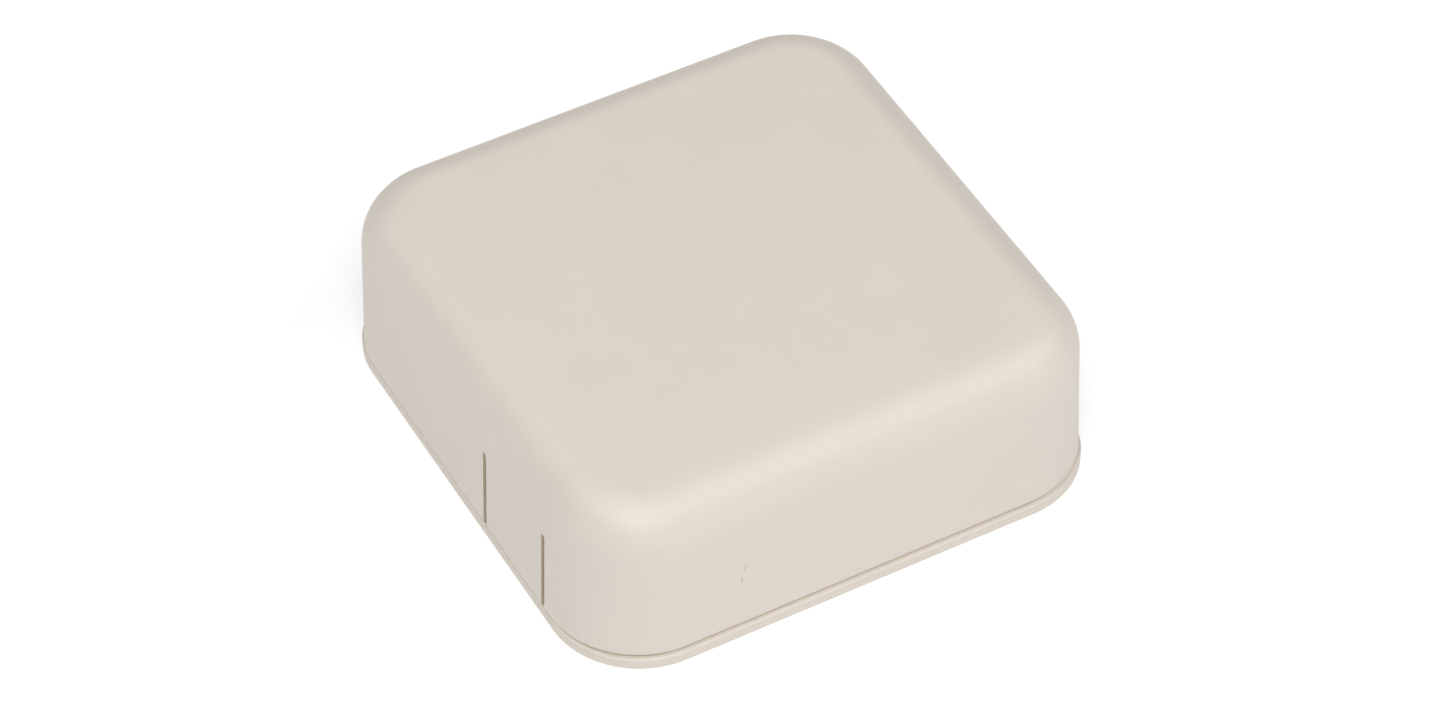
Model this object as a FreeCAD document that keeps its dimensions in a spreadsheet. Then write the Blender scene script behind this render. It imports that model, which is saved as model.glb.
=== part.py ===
import FreeCAD, Part
import math
import os
from types import SimpleNamespace

import Sketcher

# Ceiling access point: a square plastic housing of two shells around a powered-over-Ethernet radio board.
# Frame: origin at the middle of the underside of the base plate, +Z up, the latch wall on the -Y side.
# The drop-on cover stands on the base plate; a tongue cut out of its -Y wall hooks under the plate.
# The plate stands out as a lip along the +X and -X walls and ends flush with the other two walls.

OUT_FOLDER = "parts"
VECTOR = FreeCAD.Vector
EDGE_TOLERANCE = 1e-4

# Driving dimensions in millimetres (angles in degrees): alias, value, what it is.
DIMENSIONS = [
    # casing
    ("side", 120.0, "length of the base plate"),
    ("plate_depth", 118.5, "width of the base plate, flush with the latch wall"),
    ("height", 40.0, "overall height"),
    ("corner_radius", 19.6, "corner radius of the base plate"),
    ("cover_radius", 20.0, "corner radius of the cover's lower edge"),
    ("lip_height", 2.6, "thickness of the base plate, seen as the lip"),
    ("lip_overhang", 0.75, "how far the lip stands out past the cover at the two plain sides"),
    ("lip_round", 0.45, "rounding of the lip's upper edge"),
    ("lip_under_round", 0.3, "rounding of the lip's lower edge"),
    ("shadow_gap", 0.5, "gap under the cover's outer edge"),
    ("seat_inset", 1.1, "from the cover's outer face in to the seat it stands on"),
    ("wall", 2.5, "wall thickness of the cover"),
    ("draft", 2.0, "draft angle of the cover's walls"),
    ("top_round", 10.0, "outer rounding of the cover's top edge"),
    ("edge_break", 0.25, "small rounding of the cover's lower edge"),
    # latch tongue
    ("tongue_centre", 23.7, "middle of the tongue from the middle of the wall"),
    ("slit_pitch", 25.0, "between the middles of the two slits"),
    ("slit_width", 1.3, "width of a slit"),
    ("slit_top", 23.5, "height of the slits' rounded tops"),
    ("catch_width", 10.0, "width of the tongue's catch leg"),
    ("catch_thickness", 1.75, "thickness of the catch leg"),
    ("catch_height", 9.0, "height at which the catch leg leaves the tongue"),
    ("catch_foot", 0.5, "height of the catch leg's lower end"),
    ("barb_depth", 1.2, "how far the barb stands out of the leg"),
    ("barb_height", 0.95, "height of the barb's shoulder over its foot"),
    ("catch_bite", 0.25, "how far the catch leg runs into the tongue's wall"),
    ("catch_lead", 0.35, "lead-in under the barb"),
    ("catch_gusset", 2.5, "height of the leg's tapered top"),
    ("catch_play", 0.3, "play round the catch in the base plate"),
    ("ledge_gap", 0.15, "between the barb and the ledge over it"),
    ("catch_stroke", 2.2, "free travel for the catch leg, inwards"),
    # base plate
    ("rim_gap", 0.4, "between the rim and the cover's wall"),
    ("rim_thickness", 1.6, "thickness of the locating rim"),
    ("rim_top", 8.5, "height of the rim's top edge"),
    ("rim_break", 28.6, "length of rim left out behind the tongue"),
    ("hook_spacing", 56.0, "between the middles of the two fixed hooks"),
    ("hook_width", 8.0, "width of a fixed hook"),
    ("hook_level", 5.0, "height of a hook's underside"),
    ("hook_thickness", 1.5, "height of a fixed hook"),
    ("hook_reach", 2.1, "how far a hook stands in from the wall"),
    ("window_play", 0.4, "play round a hook in its window"),
    ("cut_margin", 1.0, "how far a cutting shape runs past what it cuts"),
    ("fixing_spacing", 88.0, "square spacing of the four fixing holes"),
    ("fixing_radius", 2.25, "radius of a fixing hole"),
    ("fixing_counterbore", 4.5, "radius of the counterbore for a screw head"),
    ("counterbore_depth", 0.8, "depth of the counterbore"),
    ("entry_x", -33.0, "middle of the cable opening"),
    ("entry_y", -24.0, "middle of the cable opening"),
    ("entry_radius", 11.0, "radius of the cable opening"),
    ("collar_thickness", 1.6, "wall of the collar round the cable opening"),
    ("collar_height", 2.0, "height of that collar over the plate"),
    ("standoff_height", 6.0, "height of the board's standoffs"),
    ("standoff_radius", 3.2, "radius of a standoff"),
    ("pilot_radius", 1.35, "radius of a standoff's screw hole"),
    ("pilot_floor", 1.4, "plate left under a screw hole"),
    ("rib_thickness", 1.4, "thickness of the ribs under the heat spreader"),
    ("rib_height", 3.0, "height of those ribs"),
    ("stake_radius", 1.2, "radius of the pins that hold the heat spreader"),
    ("label_x", 44.0, "length of the rating label"),
    ("label_y", 26.0, "width of the rating label"),
    ("label_recess", 0.4, "depth of the label's recess"),
    ("label_thickness", 0.2, "thickness of the label"),
    ("label_play", 0.4, "margin round the label in its recess"),
    ("label_centre_x", 14.0, "middle of the label"),
    # circuit board
    ("board_x", 96.0, "length of the main board"),
    ("board_y", 76.0, "width of the main board"),
    ("board_thickness", 1.6, "thickness of the main board"),
    ("board_round", 2.0, "corner radius of the main board"),
    ("well_x", -14.0, "edge of the cable well cut out of the board"),
    ("well_y", -8.0, "other edge of the cable well"),
    ("screw_margin", 4.0, "from a board screw to the board's edges"),
    ("board_hole", 1.6, "radius of a board screw hole"),
    ("screw_head", 2.6, "radius of a board screw's head"),
    ("screw_head_height", 1.9, "height of a board screw's head"),
    ("screw_shank", 1.3, "radius of a board screw's shank"),
    ("screw_length", 6.6, "length of the shank"),
    ("recess_arm", 2.6, "span of the cross recess"),
    ("recess_slot", 0.7, "width of the cross recess"),
    ("recess_depth", 1.0, "depth of the cross recess"),
    # heat path
    ("processor_x", 2.0, "middle of the main processor"),
    ("processor_y", 6.0, "middle of the main processor"),
    ("processor_side", 17.0, "side of the main processor"),
    ("processor_height", 1.3, "height of the main processor"),
    ("processor_lid", 14.0, "side of the processor's lid"),
    ("tape_thickness", 0.3, "thermal tape under the heat sink"),
    ("sink_side", 28.0, "side of the heat sink"),
    ("sink_base", 1.6, "thickness of the heat sink's base"),
    ("sink_height", 8.0, "overall height of the heat sink"),
    ("fin_thickness", 0.9, "thickness of a fin"),
    ("spreader_x", 64.0, "length of the heat spreader"),
    ("spreader_y", 40.0, "width of the heat spreader"),
    ("spreader_centre_x", 4.0, "middle of the heat spreader"),
    ("spreader_centre_y", 14.0, "middle of the heat spreader"),
    ("spreader_thickness", 1.5, "thickness of the heat spreader"),
    ("stake_margin", 5.0, "from a spreader pin to the spreader's edges"),
    ("stake_play", 0.15, "play of the spreader on its pins"),
    ("stake_head", 0.8, "height of a pin over the heat spreader"),
    ("pad_side", 26.0, "side of the thermal pad under the board"),
    # Ethernet jack
    ("jack_length", 21.0, "length of the Ethernet jack"),
    ("jack_width", 16.0, "width of the Ethernet jack"),
    ("jack_height", 13.5, "height of the Ethernet jack"),
    ("jack_y", -22.0, "middle of the Ethernet jack"),
    ("jack_overhang", 1.0, "how far the jack stands out over the well"),
    ("sheet_metal", 0.3, "thickness of shells and shield cans"),
    ("plug_width", 11.8, "width of the plug socket"),
    ("plug_height", 7.0, "height of the plug socket"),
    ("plug_floor", 2.0, "plastic under the plug socket"),
    ("plug_depth", 13.0, "depth of the plug socket"),
    ("key_width", 6.2, "width of the slot for the plug's clip"),
    ("key_height", 2.4, "height of the slot for the plug's clip"),
    ("contact_pitch", 1.02, "pitch of the jack's contacts"),
    ("contact_width", 0.45, "width of one contact"),
    ("contact_thickness", 0.3, "thickness of one contact"),
    ("contact_run", 5.5, "length of one contact along the socket"),
    ("contact_rise", 3.0, "height to which a contact rises"),
    # chips and power parts on the board
    ("chip_lift", 0.1, "gap under a leaded chip"),
    ("lead_length", 1.0, "how far a lead stands out of its chip"),
    ("lead_bite", 0.3, "how far a lead runs into its chip"),
    ("lead_width", 0.5, "width of a chip's lead"),
    ("lead_thickness", 0.2, "thickness of a chip's lead"),
    ("magnetics_x", 12.0, "middle of the network magnetics"),
    ("magnetics_width", 7.0, "width of the network magnetics"),
    ("magnetics_depth", 15.0, "length of the network magnetics"),
    ("magnetics_height", 5.2, "height of the network magnetics"),
    ("magnetics_pitch", 1.8, "pitch of its leads"),
    ("transformer_x", 25.5, "middle of the power transformer"),
    ("transformer_y", -26.0, "middle of the power transformer"),
    ("core_width", 13.0, "width of the ferrite core"),
    ("core_depth", 7.0, "depth of the ferrite core"),
    ("core_height", 9.5, "height of the ferrite core"),
    ("core_wall", 2.0, "thickness of the core's limbs"),
    ("bobbin_base", 1.5, "thickness of the bobbin's foot"),
    ("bobbin_depth", 11.5, "depth of the bobbin"),
    ("cheek_thickness", 1.0, "thickness of the bobbin's cheeks"),
    ("winding_play", 0.2, "between the winding and the core"),
    ("crimp_level", 1.2, "height of the groove of a can"),
    ("crimp_inset", 0.35, "depth of the groove of a can"),
    ("crimp_height", 0.6, "width of the groove of a can"),
    ("can_round", 0.5, "rounding of the top of a can"),
    ("bulk_x", 38.0, "middle of the bulk capacitors"),
    ("bulk_first", -28.0, "middle of the first bulk capacitor"),
    ("bulk_second", -17.5, "middle of the second bulk capacitor"),
    ("bulk_radius", 4.0, "radius of a bulk capacitor"),
    ("bulk_height", 11.5, "height of a bulk capacitor"),
    ("filter_x", 35.5, "middle of the filter capacitors"),
    ("filter_y", -9.0, "middle of the first filter capacitor"),
    ("filter_pitch", 7.4, "pitch of the filter capacitors"),
    ("filter_radius", 3.15, "radius of a filter capacitor"),
    ("filter_height", 7.7, "height of a filter capacitor"),
    ("inductor_x", 25.0, "middle of the power inductor"),
    ("inductor_y", -1.5, "middle of the power inductor"),
    ("inductor_side", 10.0, "side of the power inductor"),
    ("inductor_height", 4.5, "height of the power inductor"),
    ("inductor_round", 1.6, "corner radius of the power inductor"),
    ("dish_radius", 3.6, "radius of the dish in the inductor's top"),
    ("dish_depth", 0.2, "depth of that dish"),
    ("bridge_x", 25.0, "middle of the bridge rectifier"),
    ("bridge_y", -13.5, "middle of the bridge rectifier"),
    ("bridge_width", 6.4, "width of the bridge rectifier"),
    ("bridge_depth", 8.3, "length of the bridge rectifier"),
    ("bridge_height", 2.6, "height of the bridge rectifier"),
    ("bridge_pitch", 5.1, "pitch of its leads"),
    ("flash_x", -24.0, "middle of the flash chip"),
    ("flash_y", 6.5, "middle of the flash chip"),
    ("flash_width", 5.2, "width of the flash chip"),
    ("flash_depth", 5.2, "length of the flash chip"),
    ("flash_height", 1.8, "height of the flash chip"),
    ("flash_pitch", 1.27, "pitch of its leads"),
    ("memory_x", 9.0, "width of a memory chip"),
    ("memory_depth", 13.0, "length of a memory chip"),
    ("memory_height", 1.0, "height of a memory chip"),
    ("memory_pitch", 13.0, "between the middles of the memory chips"),
    ("memory_y", 28.7, "middle of the memory chips"),
    ("crystal_x", -15.5, "middle of the crystal"),
    ("crystal_y", 2.5, "middle of the crystal"),
    ("crystal_length", 3.2, "length of the crystal"),
    ("crystal_width", 2.5, "width of the crystal"),
    ("crystal_height", 0.8, "height of the crystal"),
    ("crystal_round", 0.25, "corner radius of the crystal's can"),
    ("passive_x", 1.0, "width of a chip resistor"),
    ("passive_y", 1.8, "length of a chip resistor"),
    ("passive_height", 0.6, "height of a chip resistor"),
    ("header_x", 2.0, "middle of the service header"),
    ("header_y", -35.0, "middle of the service header"),
    ("header_pitch", 2.54, "pitch of the service header"),
    ("header_height", 8.5, "height of the header's pins"),
    ("pin_side", 0.64, "side of a header pin"),
    # radio and aerials
    ("shield_x", 22.0, "length of a radio shield can"),
    ("shield_y", 18.0, "width of a radio shield can"),
    ("shield_height", 3.0, "height of a radio shield can"),
    ("shield_pitch", 58.0, "between the middles of the two cans"),
    ("shield_centre_y", 22.0, "middle of the cans"),
    ("vent_radius", 0.7, "radius of a vent hole in a can"),
    ("vent_pitch", 3.2, "pitch of the vent holes"),
    ("radio_side", 7.0, "side of a radio chip"),
    ("radio_height", 0.9, "height of a radio chip"),
    ("aerial_x", 5.6, "width of a stamped aerial"),
    ("aerial_y", 20.0, "length of a stamped aerial"),
    ("aerial_height", 8.0, "height of a stamped aerial"),
    ("aerial_sheet", 0.4, "thickness of the stamped sheet"),
    ("aerial_edge", 0.8, "from the aerial to the board's edge"),
    ("aerial_foot_y", 2.0, "start of the stamped aerials along the board"),
    ("feed_offset", 5.0, "from the earth leg to the feed leg"),
    ("feed_width", 1.5, "width of the feed leg"),
    ("strip_length", 32.0, "length of an upright aerial board"),
    ("strip_height", 14.0, "height of an upright aerial board"),
    ("strip_thickness", 0.8, "thickness of an upright aerial board"),
    ("strip_centre_x", 20.0, "middle of an upright aerial board"),
    ("strip_y", 47.0, "middle plane of the upright aerial boards"),
    ("strip_floor", 4.0, "height of the aerial boards' lower edges"),
    ("holder_side", 4.0, "side of a holder post for an aerial board"),
    ("holder_top", 11.0, "height of the holder posts"),
    ("holder_play", 0.1, "play of an aerial board in its slot"),
    ("coax_radius", 0.565, "radius of the aerial leads"),
    ("coax_plug_radius", 1.3, "radius of an aerial lead's plug"),
    ("coax_plug_height", 2.0, "height of that plug"),
    ("coax_plug_x", 33.0, "where the lead plugs onto the board"),
    ("coax_plug_y", 33.5, "where the lead plugs onto the board"),
    ("crimp_length", 2.4, "length of the plug's crimp barrel"),
    ("crimp_radius", 0.8, "radius of the plug's crimp barrel"),
    ("lead_straight", 1.2, "straight stretch of a lead at its plug"),
    ("lead_bend", 3.0, "radius of a lead's bends"),
    ("lead_shift", 8.0, "sideways shift of a lead"),
    # indicator and reset
    ("pipe_x", -22.0, "middle of the light pipe"),
    ("pipe_y", -2.0, "middle of the light pipe"),
    ("pipe_radius", 1.5, "radius of the light pipe"),
    ("pipe_play", 0.05, "play of the light pipe in its boss"),
    ("pipe_gap", 1.2, "from the lamp up to the light pipe"),
    ("pipe_skin", 0.8, "cover left over the light pipe"),
    ("boss_radius", 3.0, "radius of the light pipe's boss"),
    ("boss_length", 7.0, "length of the boss below the cover's top"),
    ("lamp_side", 2.8, "side of the status lamp"),
    ("lamp_height", 1.1, "height of the status lamp"),
    ("switch_x", -34.0, "middle of the reset switch"),
    ("switch_y", 1.5, "middle of the reset switch"),
    ("switch_side", 6.0, "side of the reset switch"),
    ("switch_height", 3.4, "height of the switch's body"),
    ("plunger_radius", 1.7, "radius of the reset plunger"),
    ("plunger_play", 0.1, "play round the plunger"),
    ("plunger_height", 2.9, "length of the plunger"),
    ("plunger_stand", 2.0, "how far the plunger stands out"),
    ("plunger_well", 1.4, "depth of the plunger's hole"),
    ("plunger_round", 0.2, "rounding of the plunger's top edge"),
]

# Counts, and rows of chip resistors as start x, start y, count and step.
FIN_COUNT = 9
CONTACT_COUNT = 8
HEADER_PINS = 4
VENT_COLUMNS = 5
VENT_ROWS = 4
PASSIVE_ROWS = [(-40.0, 8.0, 5, 2.2), (-12.0, -10.5, 6, 2.4), (6.0, -12.0, 5, 2.4), (-15.5, 21.5, 3, 2.4),
                (-38.5, -4.5, 4, 2.3), (14.5, -35.5, 7, 2.4), (-6.0, 36.3, 7, 2.6)]


class Size:
    """A length with both its value in millimetres and the spreadsheet expression that gives it."""

    def __init__(self, value, text):
        self.value = value
        self.text = text

    def joined(self, other, value, sign, swapped=False):
        texts = [self.text, other.text]
        if swapped:
            texts.reverse()
        return Size(value, f"({texts[0]} {sign} {texts[1]})")

    def __add__(self, other):
        other = size(other)
        return self.joined(other, self.value + other.value, "+")

    def __radd__(self, other):
        return size(other) + self

    def __sub__(self, other):
        other = size(other)
        return self.joined(other, self.value - other.value, "-")

    def __rsub__(self, other):
        return size(other) - self

    def __mul__(self, other):
        other = size(other)
        return self.joined(other, self.value * other.value, "*")

    def __rmul__(self, other):
        return size(other) * self

    def __truediv__(self, other):
        other = size(other)
        return self.joined(other, self.value / other.value, "/")

    def __neg__(self):
        return size(0) - self


def size(thing):
    """A plain number as a Size, or a Size as it is."""
    if isinstance(thing, Size):
        return thing
    return Size(float(thing), f"({float(thing):g})")


def make_sheet(document):
    """Writes the spreadsheet and returns its dimensions by name."""
    sheet = document.addObject("Spreadsheet::Sheet", "Dims")
    found = {}
    for row, (alias, value, note) in enumerate(DIMENSIONS, 1):
        sheet.set(f"A{row}", alias)
        sheet.set(f"B{row}", str(value))
        sheet.set(f"C{row}", note)
        sheet.setAlias(f"B{row}", alias)
        found[alias] = Size(value, f"Dims.{alias}")
    document.recompute()
    return SimpleNamespace(**found)


doc = FreeCAD.newDocument("AccessPoint")
dim = make_sheet(doc)
kept = []

# Levels and outlines worked out from the driving dimensions.
cover_bottom = dim.lip_height + dim.shadow_gap
cover_half = dim.side / 2 - dim.lip_overhang
inner_half = cover_half - dim.wall
rim_half = inner_half - dim.rim_gap
board_bottom = dim.lip_height + dim.standoff_height
board_top = board_bottom + dim.board_thickness
ceiling = dim.height - dim.wall
tongue_root = dim.slit_top - dim.slit_width / 2
jack_front = dim.well_x - dim.jack_overhang


# ---------------------------------------------------------------- document helpers


def bind(thing, path, length):
    """Binds one property of an object to the spreadsheet."""
    thing.setExpression(path, size(length).text)


def keep(thing, label):
    """Names a finished sub-part and lists it for export."""
    thing.Label = label
    kept.append(thing)
    return thing


def new_body(name):
    """An empty PartDesign body that may hold several separate solids."""
    made = doc.addObject("PartDesign::Body", name)
    made.AllowCompound = True
    return made


def new_sketch(body, name, level=0, plane="XY_Plane"):
    """A sketch on one of the body's origin planes, moved along the plane's normal."""
    made = body.newObject("Sketcher::SketchObject", f"{body.Name}_{name}")
    support = next(item for item in body.Origin.OriginFeatures if item.Role == plane)
    made.AttachmentSupport = [(support, "")]
    made.MapMode = "FlatFace"
    bind(made, "AttachmentOffset.Base.z", level)
    return made


def dimension(sketch, kind, picks, length):
    """Adds one driving constraint and binds it to the spreadsheet."""
    length = size(length)
    index = sketch.addConstraint(Sketcher.Constraint(kind, *picks, length.value))
    name = f"{kind}_{index}"
    sketch.renameConstraint(index, name)
    bind(sketch, f"Constraints.{name}", length)


def place_point(sketch, geometry, point, x, y):
    """Holds one point of the sketch at (x, y)."""
    for kind, axis, length in (("DistanceX", -2, size(x)), ("DistanceY", -1, size(y))):
        if length.value == 0:
            sketch.addConstraint(Sketcher.Constraint("PointOnObject", geometry, point, axis))
        else:
            dimension(sketch, kind, (-1, 1, geometry, point), length)


def add_polygon(sketch, corners):
    """A closed polygon through (x, y) corners, every corner bound."""
    points = [VECTOR(size(x).value, size(y).value, 0) for x, y in corners]
    first = sketch.GeometryCount
    count = len(points)
    for here in range(count):
        sketch.addGeometry(Part.LineSegment(points[here], points[(here + 1) % count]), False)
    for here in range(count):
        after = first + (here + 1) % count
        sketch.addConstraint(Sketcher.Constraint("Coincident", first + here, 2, after, 1))
    for here, (x, y) in enumerate(corners):
        place_point(sketch, first + here, 1, x, y)


def add_rectangle(sketch, x, y, width, depth):
    """A rectangle round the middle (x, y)."""
    x, y = size(x), size(y)
    left, right = x - width / 2, x + width / 2
    low, high = y - depth / 2, y + depth / 2
    add_polygon(sketch, [(left, low), (right, low), (right, high), (left, high)])


def add_circle(sketch, x, y, radius):
    """A circle round the middle (x, y)."""
    x, y, radius = size(x), size(y), size(radius)
    centre = VECTOR(x.value, y.value, 0)
    index = sketch.addGeometry(Part.Circle(centre, VECTOR(0, 0, 1), radius.value), False)
    dimension(sketch, "Radius", (index,), radius)
    place_point(sketch, index, 3, x, y)


def add_rounded_rectangle(sketch, x, y, width, depth, radius):
    """A rectangle round the middle (x, y) with four equal corner arcs."""
    x, y, width, depth, radius = (size(item) for item in (x, y, width, depth, radius))
    half_x = width.value / 2 - radius.value
    half_y = depth.value / 2 - radius.value
    first = sketch.GeometryCount
    arcs = []
    for quarter, (side_x, side_y) in enumerate(((1, 1), (-1, 1), (-1, -1), (1, -1))):
        centre = VECTOR(x.value + side_x * half_x, y.value + side_y * half_y, 0)
        start = quarter * math.pi / 2
        circle = Part.Circle(centre, VECTOR(0, 0, 1), radius.value)
        arcs.append(Part.ArcOfCircle(circle, start, start + math.pi / 2))
    for arc in arcs:
        sketch.addGeometry(arc, False)
    for here in range(4):
        line = Part.LineSegment(arcs[here].EndPoint, arcs[(here + 1) % 4].StartPoint)
        sketch.addGeometry(line, False)
    for here in range(4):
        line = first + 4 + here
        after = first + (here + 1) % 4
        sketch.addConstraint(Sketcher.Constraint("Tangent", first + here, 2, line, 1))
        sketch.addConstraint(Sketcher.Constraint("Tangent", line, 2, after, 1))
    for here in range(1, 4):
        sketch.addConstraint(Sketcher.Constraint("Equal", first, first + here))
    for line, way in ((4, "Horizontal"), (5, "Vertical"), (6, "Horizontal"), (7, "Vertical")):
        sketch.addConstraint(Sketcher.Constraint(way, first + line))
    dimension(sketch, "Radius", (first,), radius)
    place_point(sketch, first, 3, x + width / 2 - radius, y + depth / 2 - radius)
    place_point(sketch, first + 2, 3, x - width / 2 + radius, y - depth / 2 + radius)


def pad(body, sketch, length, reverse=False, both_ways=False):
    """Adds the sketch, extruded along its normal."""
    made = body.newObject("PartDesign::Pad", f"{sketch.Name}_pad")
    made.Profile = sketch
    made.Reversed = reverse
    made.Midplane = both_ways
    bind(made, "Length", length)
    doc.recompute()
    return made


def pocket(body, sketch, depth, reverse=False, both_ways=False):
    """Cuts the sketch, extruded against its normal, and checks that it cut something."""
    before = body.Shape.Volume
    made = body.newObject("PartDesign::Pocket", f"{sketch.Name}_pocket")
    made.Profile = sketch
    made.Reversed = reverse
    made.Midplane = both_ways
    bind(made, "Length", depth)
    doc.recompute()
    if made.Shape.Volume > before - EDGE_TOLERANCE:
        raise RuntimeError(f"{made.Name} cuts nothing")
    return made


def fillet(body, radius, wanted):
    """Rounds the edges of the body that the test picks."""
    base = body.Tip
    names = [f"Edge{i}" for i, edge in enumerate(base.Shape.Edges, 1) if wanted(edge)]
    if not names:
        raise RuntimeError(f"{body.Name} has no such edge to round")
    made = body.newObject("PartDesign::Fillet", f"{base.Name}_round")
    made.Base = (base, names)
    bind(made, "Radius", radius)
    doc.recompute()
    return made


def pattern(body, feature, axis, occurrences, pitch):
    """Repeats a feature along one of the body's origin axes."""
    made = body.newObject("PartDesign::LinearPattern", f"{feature.Name}_row")
    made.Originals = [feature]
    line = next(item for item in body.Origin.OriginFeatures if item.Role == axis)
    made.Direction = (line, [""])
    made.Occurrences = occurrences
    bind(made, "Length", pitch * (occurrences - 1))
    body.Tip = made
    doc.recompute()
    return made


def flat_at(level, spread=EDGE_TOLERANCE):
    """Picks the edges that lie at one height."""
    level = size(level).value

    def wanted(edge):
        box = edge.BoundBox
        return abs(box.ZMin - level) < spread and abs(box.ZMax - level) < spread

    return wanted


def upright(shortest):
    """Picks the straight edges along Z that are at least so long."""

    def wanted(edge):
        box = edge.BoundBox
        return max(box.XLength, box.YLength) < EDGE_TOLERANCE and box.ZLength > shortest.value

    return wanted


def block(name, x, y, z, width, depth, tall):
    """A Part box round the middle (x, y), standing on the level z."""
    x, y, z = size(x), size(y), size(z)
    width, depth = size(width), size(depth)
    made = doc.addObject("Part::Box", name)
    bind(made, "Length", width)
    bind(made, "Width", depth)
    bind(made, "Height", tall)
    bind(made, "Placement.Base.x", x - width / 2)
    bind(made, "Placement.Base.y", y - depth / 2)
    bind(made, "Placement.Base.z", z)
    return made


def post(name, x, y, z, radius, tall):
    """A Part cylinder round (x, y), standing on the level z."""
    made = doc.addObject("Part::Cylinder", name)
    bind(made, "Radius", radius)
    bind(made, "Height", tall)
    bind(made, "Placement.Base.x", x)
    bind(made, "Placement.Base.y", y)
    bind(made, "Placement.Base.z", z)
    return made


def cut(name, base, tool):
    made = doc.addObject("Part::Cut", name)
    made.Base = base
    made.Tool = tool
    return made


def fuse(name, *pieces):
    made = doc.addObject("Part::MultiFuse", name)
    made.Shapes = list(pieces)
    return made


def common(name, *pieces):
    made = doc.addObject("Part::MultiCommon", name)
    made.Shapes = list(pieces)
    return made


def together(name, pieces):
    """Separate solids that share one node."""
    made = doc.addObject("Part::Compound", name)
    made.Links = list(pieces)
    return made


def mirrored(name, source, normal):
    """The mirror image of a feature in a plane through the origin."""
    made = doc.addObject("Part::Mirroring", name)
    made.Source = source
    made.Normal = normal
    return made


def softened(name, base, radius, wanted):
    """A Part fillet on the edges that the test picks."""
    doc.recompute()
    made = doc.addObject("Part::Fillet", name)
    made.Base = base
    picked = [i for i, edge in enumerate(base.Shape.Edges, 1) if wanted(edge)]
    made.Edges = [(i, radius.value, radius.value) for i in picked]
    return made


# ---------------------------------------------------------------- casing


def board_screw_places():
    """The five board screws: three in the outer corners, two beside the cable well."""
    right = dim.board_x / 2 - dim.screw_margin
    far = dim.board_y / 2 - dim.screw_margin
    beside_well = dim.well_x + dim.screw_margin
    above_well = dim.well_y + dim.screw_margin
    return [(right, far), (right, -far), (-right, far), (-right, above_well), (beside_well, -far)]


def square_places(spacing):
    """Four places on a square round the origin."""
    half = spacing / 2
    return [(half, half), (-half, half), (-half, -half), (half, -half)]


def spreader_stakes():
    """The four pins on which the heat spreader is staked."""
    reach_x = dim.spreader_x / 2 - dim.stake_margin
    reach_y = dim.spreader_y / 2 - dim.stake_margin
    middle_x, middle_y = dim.spreader_centre_x, dim.spreader_centre_y
    return [(middle_x + side_x * reach_x, middle_y + side_y * reach_y)
            for side_x in (-1, 1) for side_y in (-1, 1)]


def catch_faces():
    """Outer and inner face of the tongue's catch leg."""
    outer = -(inner_half + dim.catch_bite)
    return outer, outer + dim.catch_thickness


def add_ring(sketch, outer_half, inner_half_side):
    """Two nested rounded squares whose corners are concentric with the cover's."""
    for half in (outer_half, inner_half_side):
        radius = dim.cover_radius - (cover_half - half)
        add_rounded_rectangle(sketch, 0, 0, half * 2, half * 2, radius)


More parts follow.
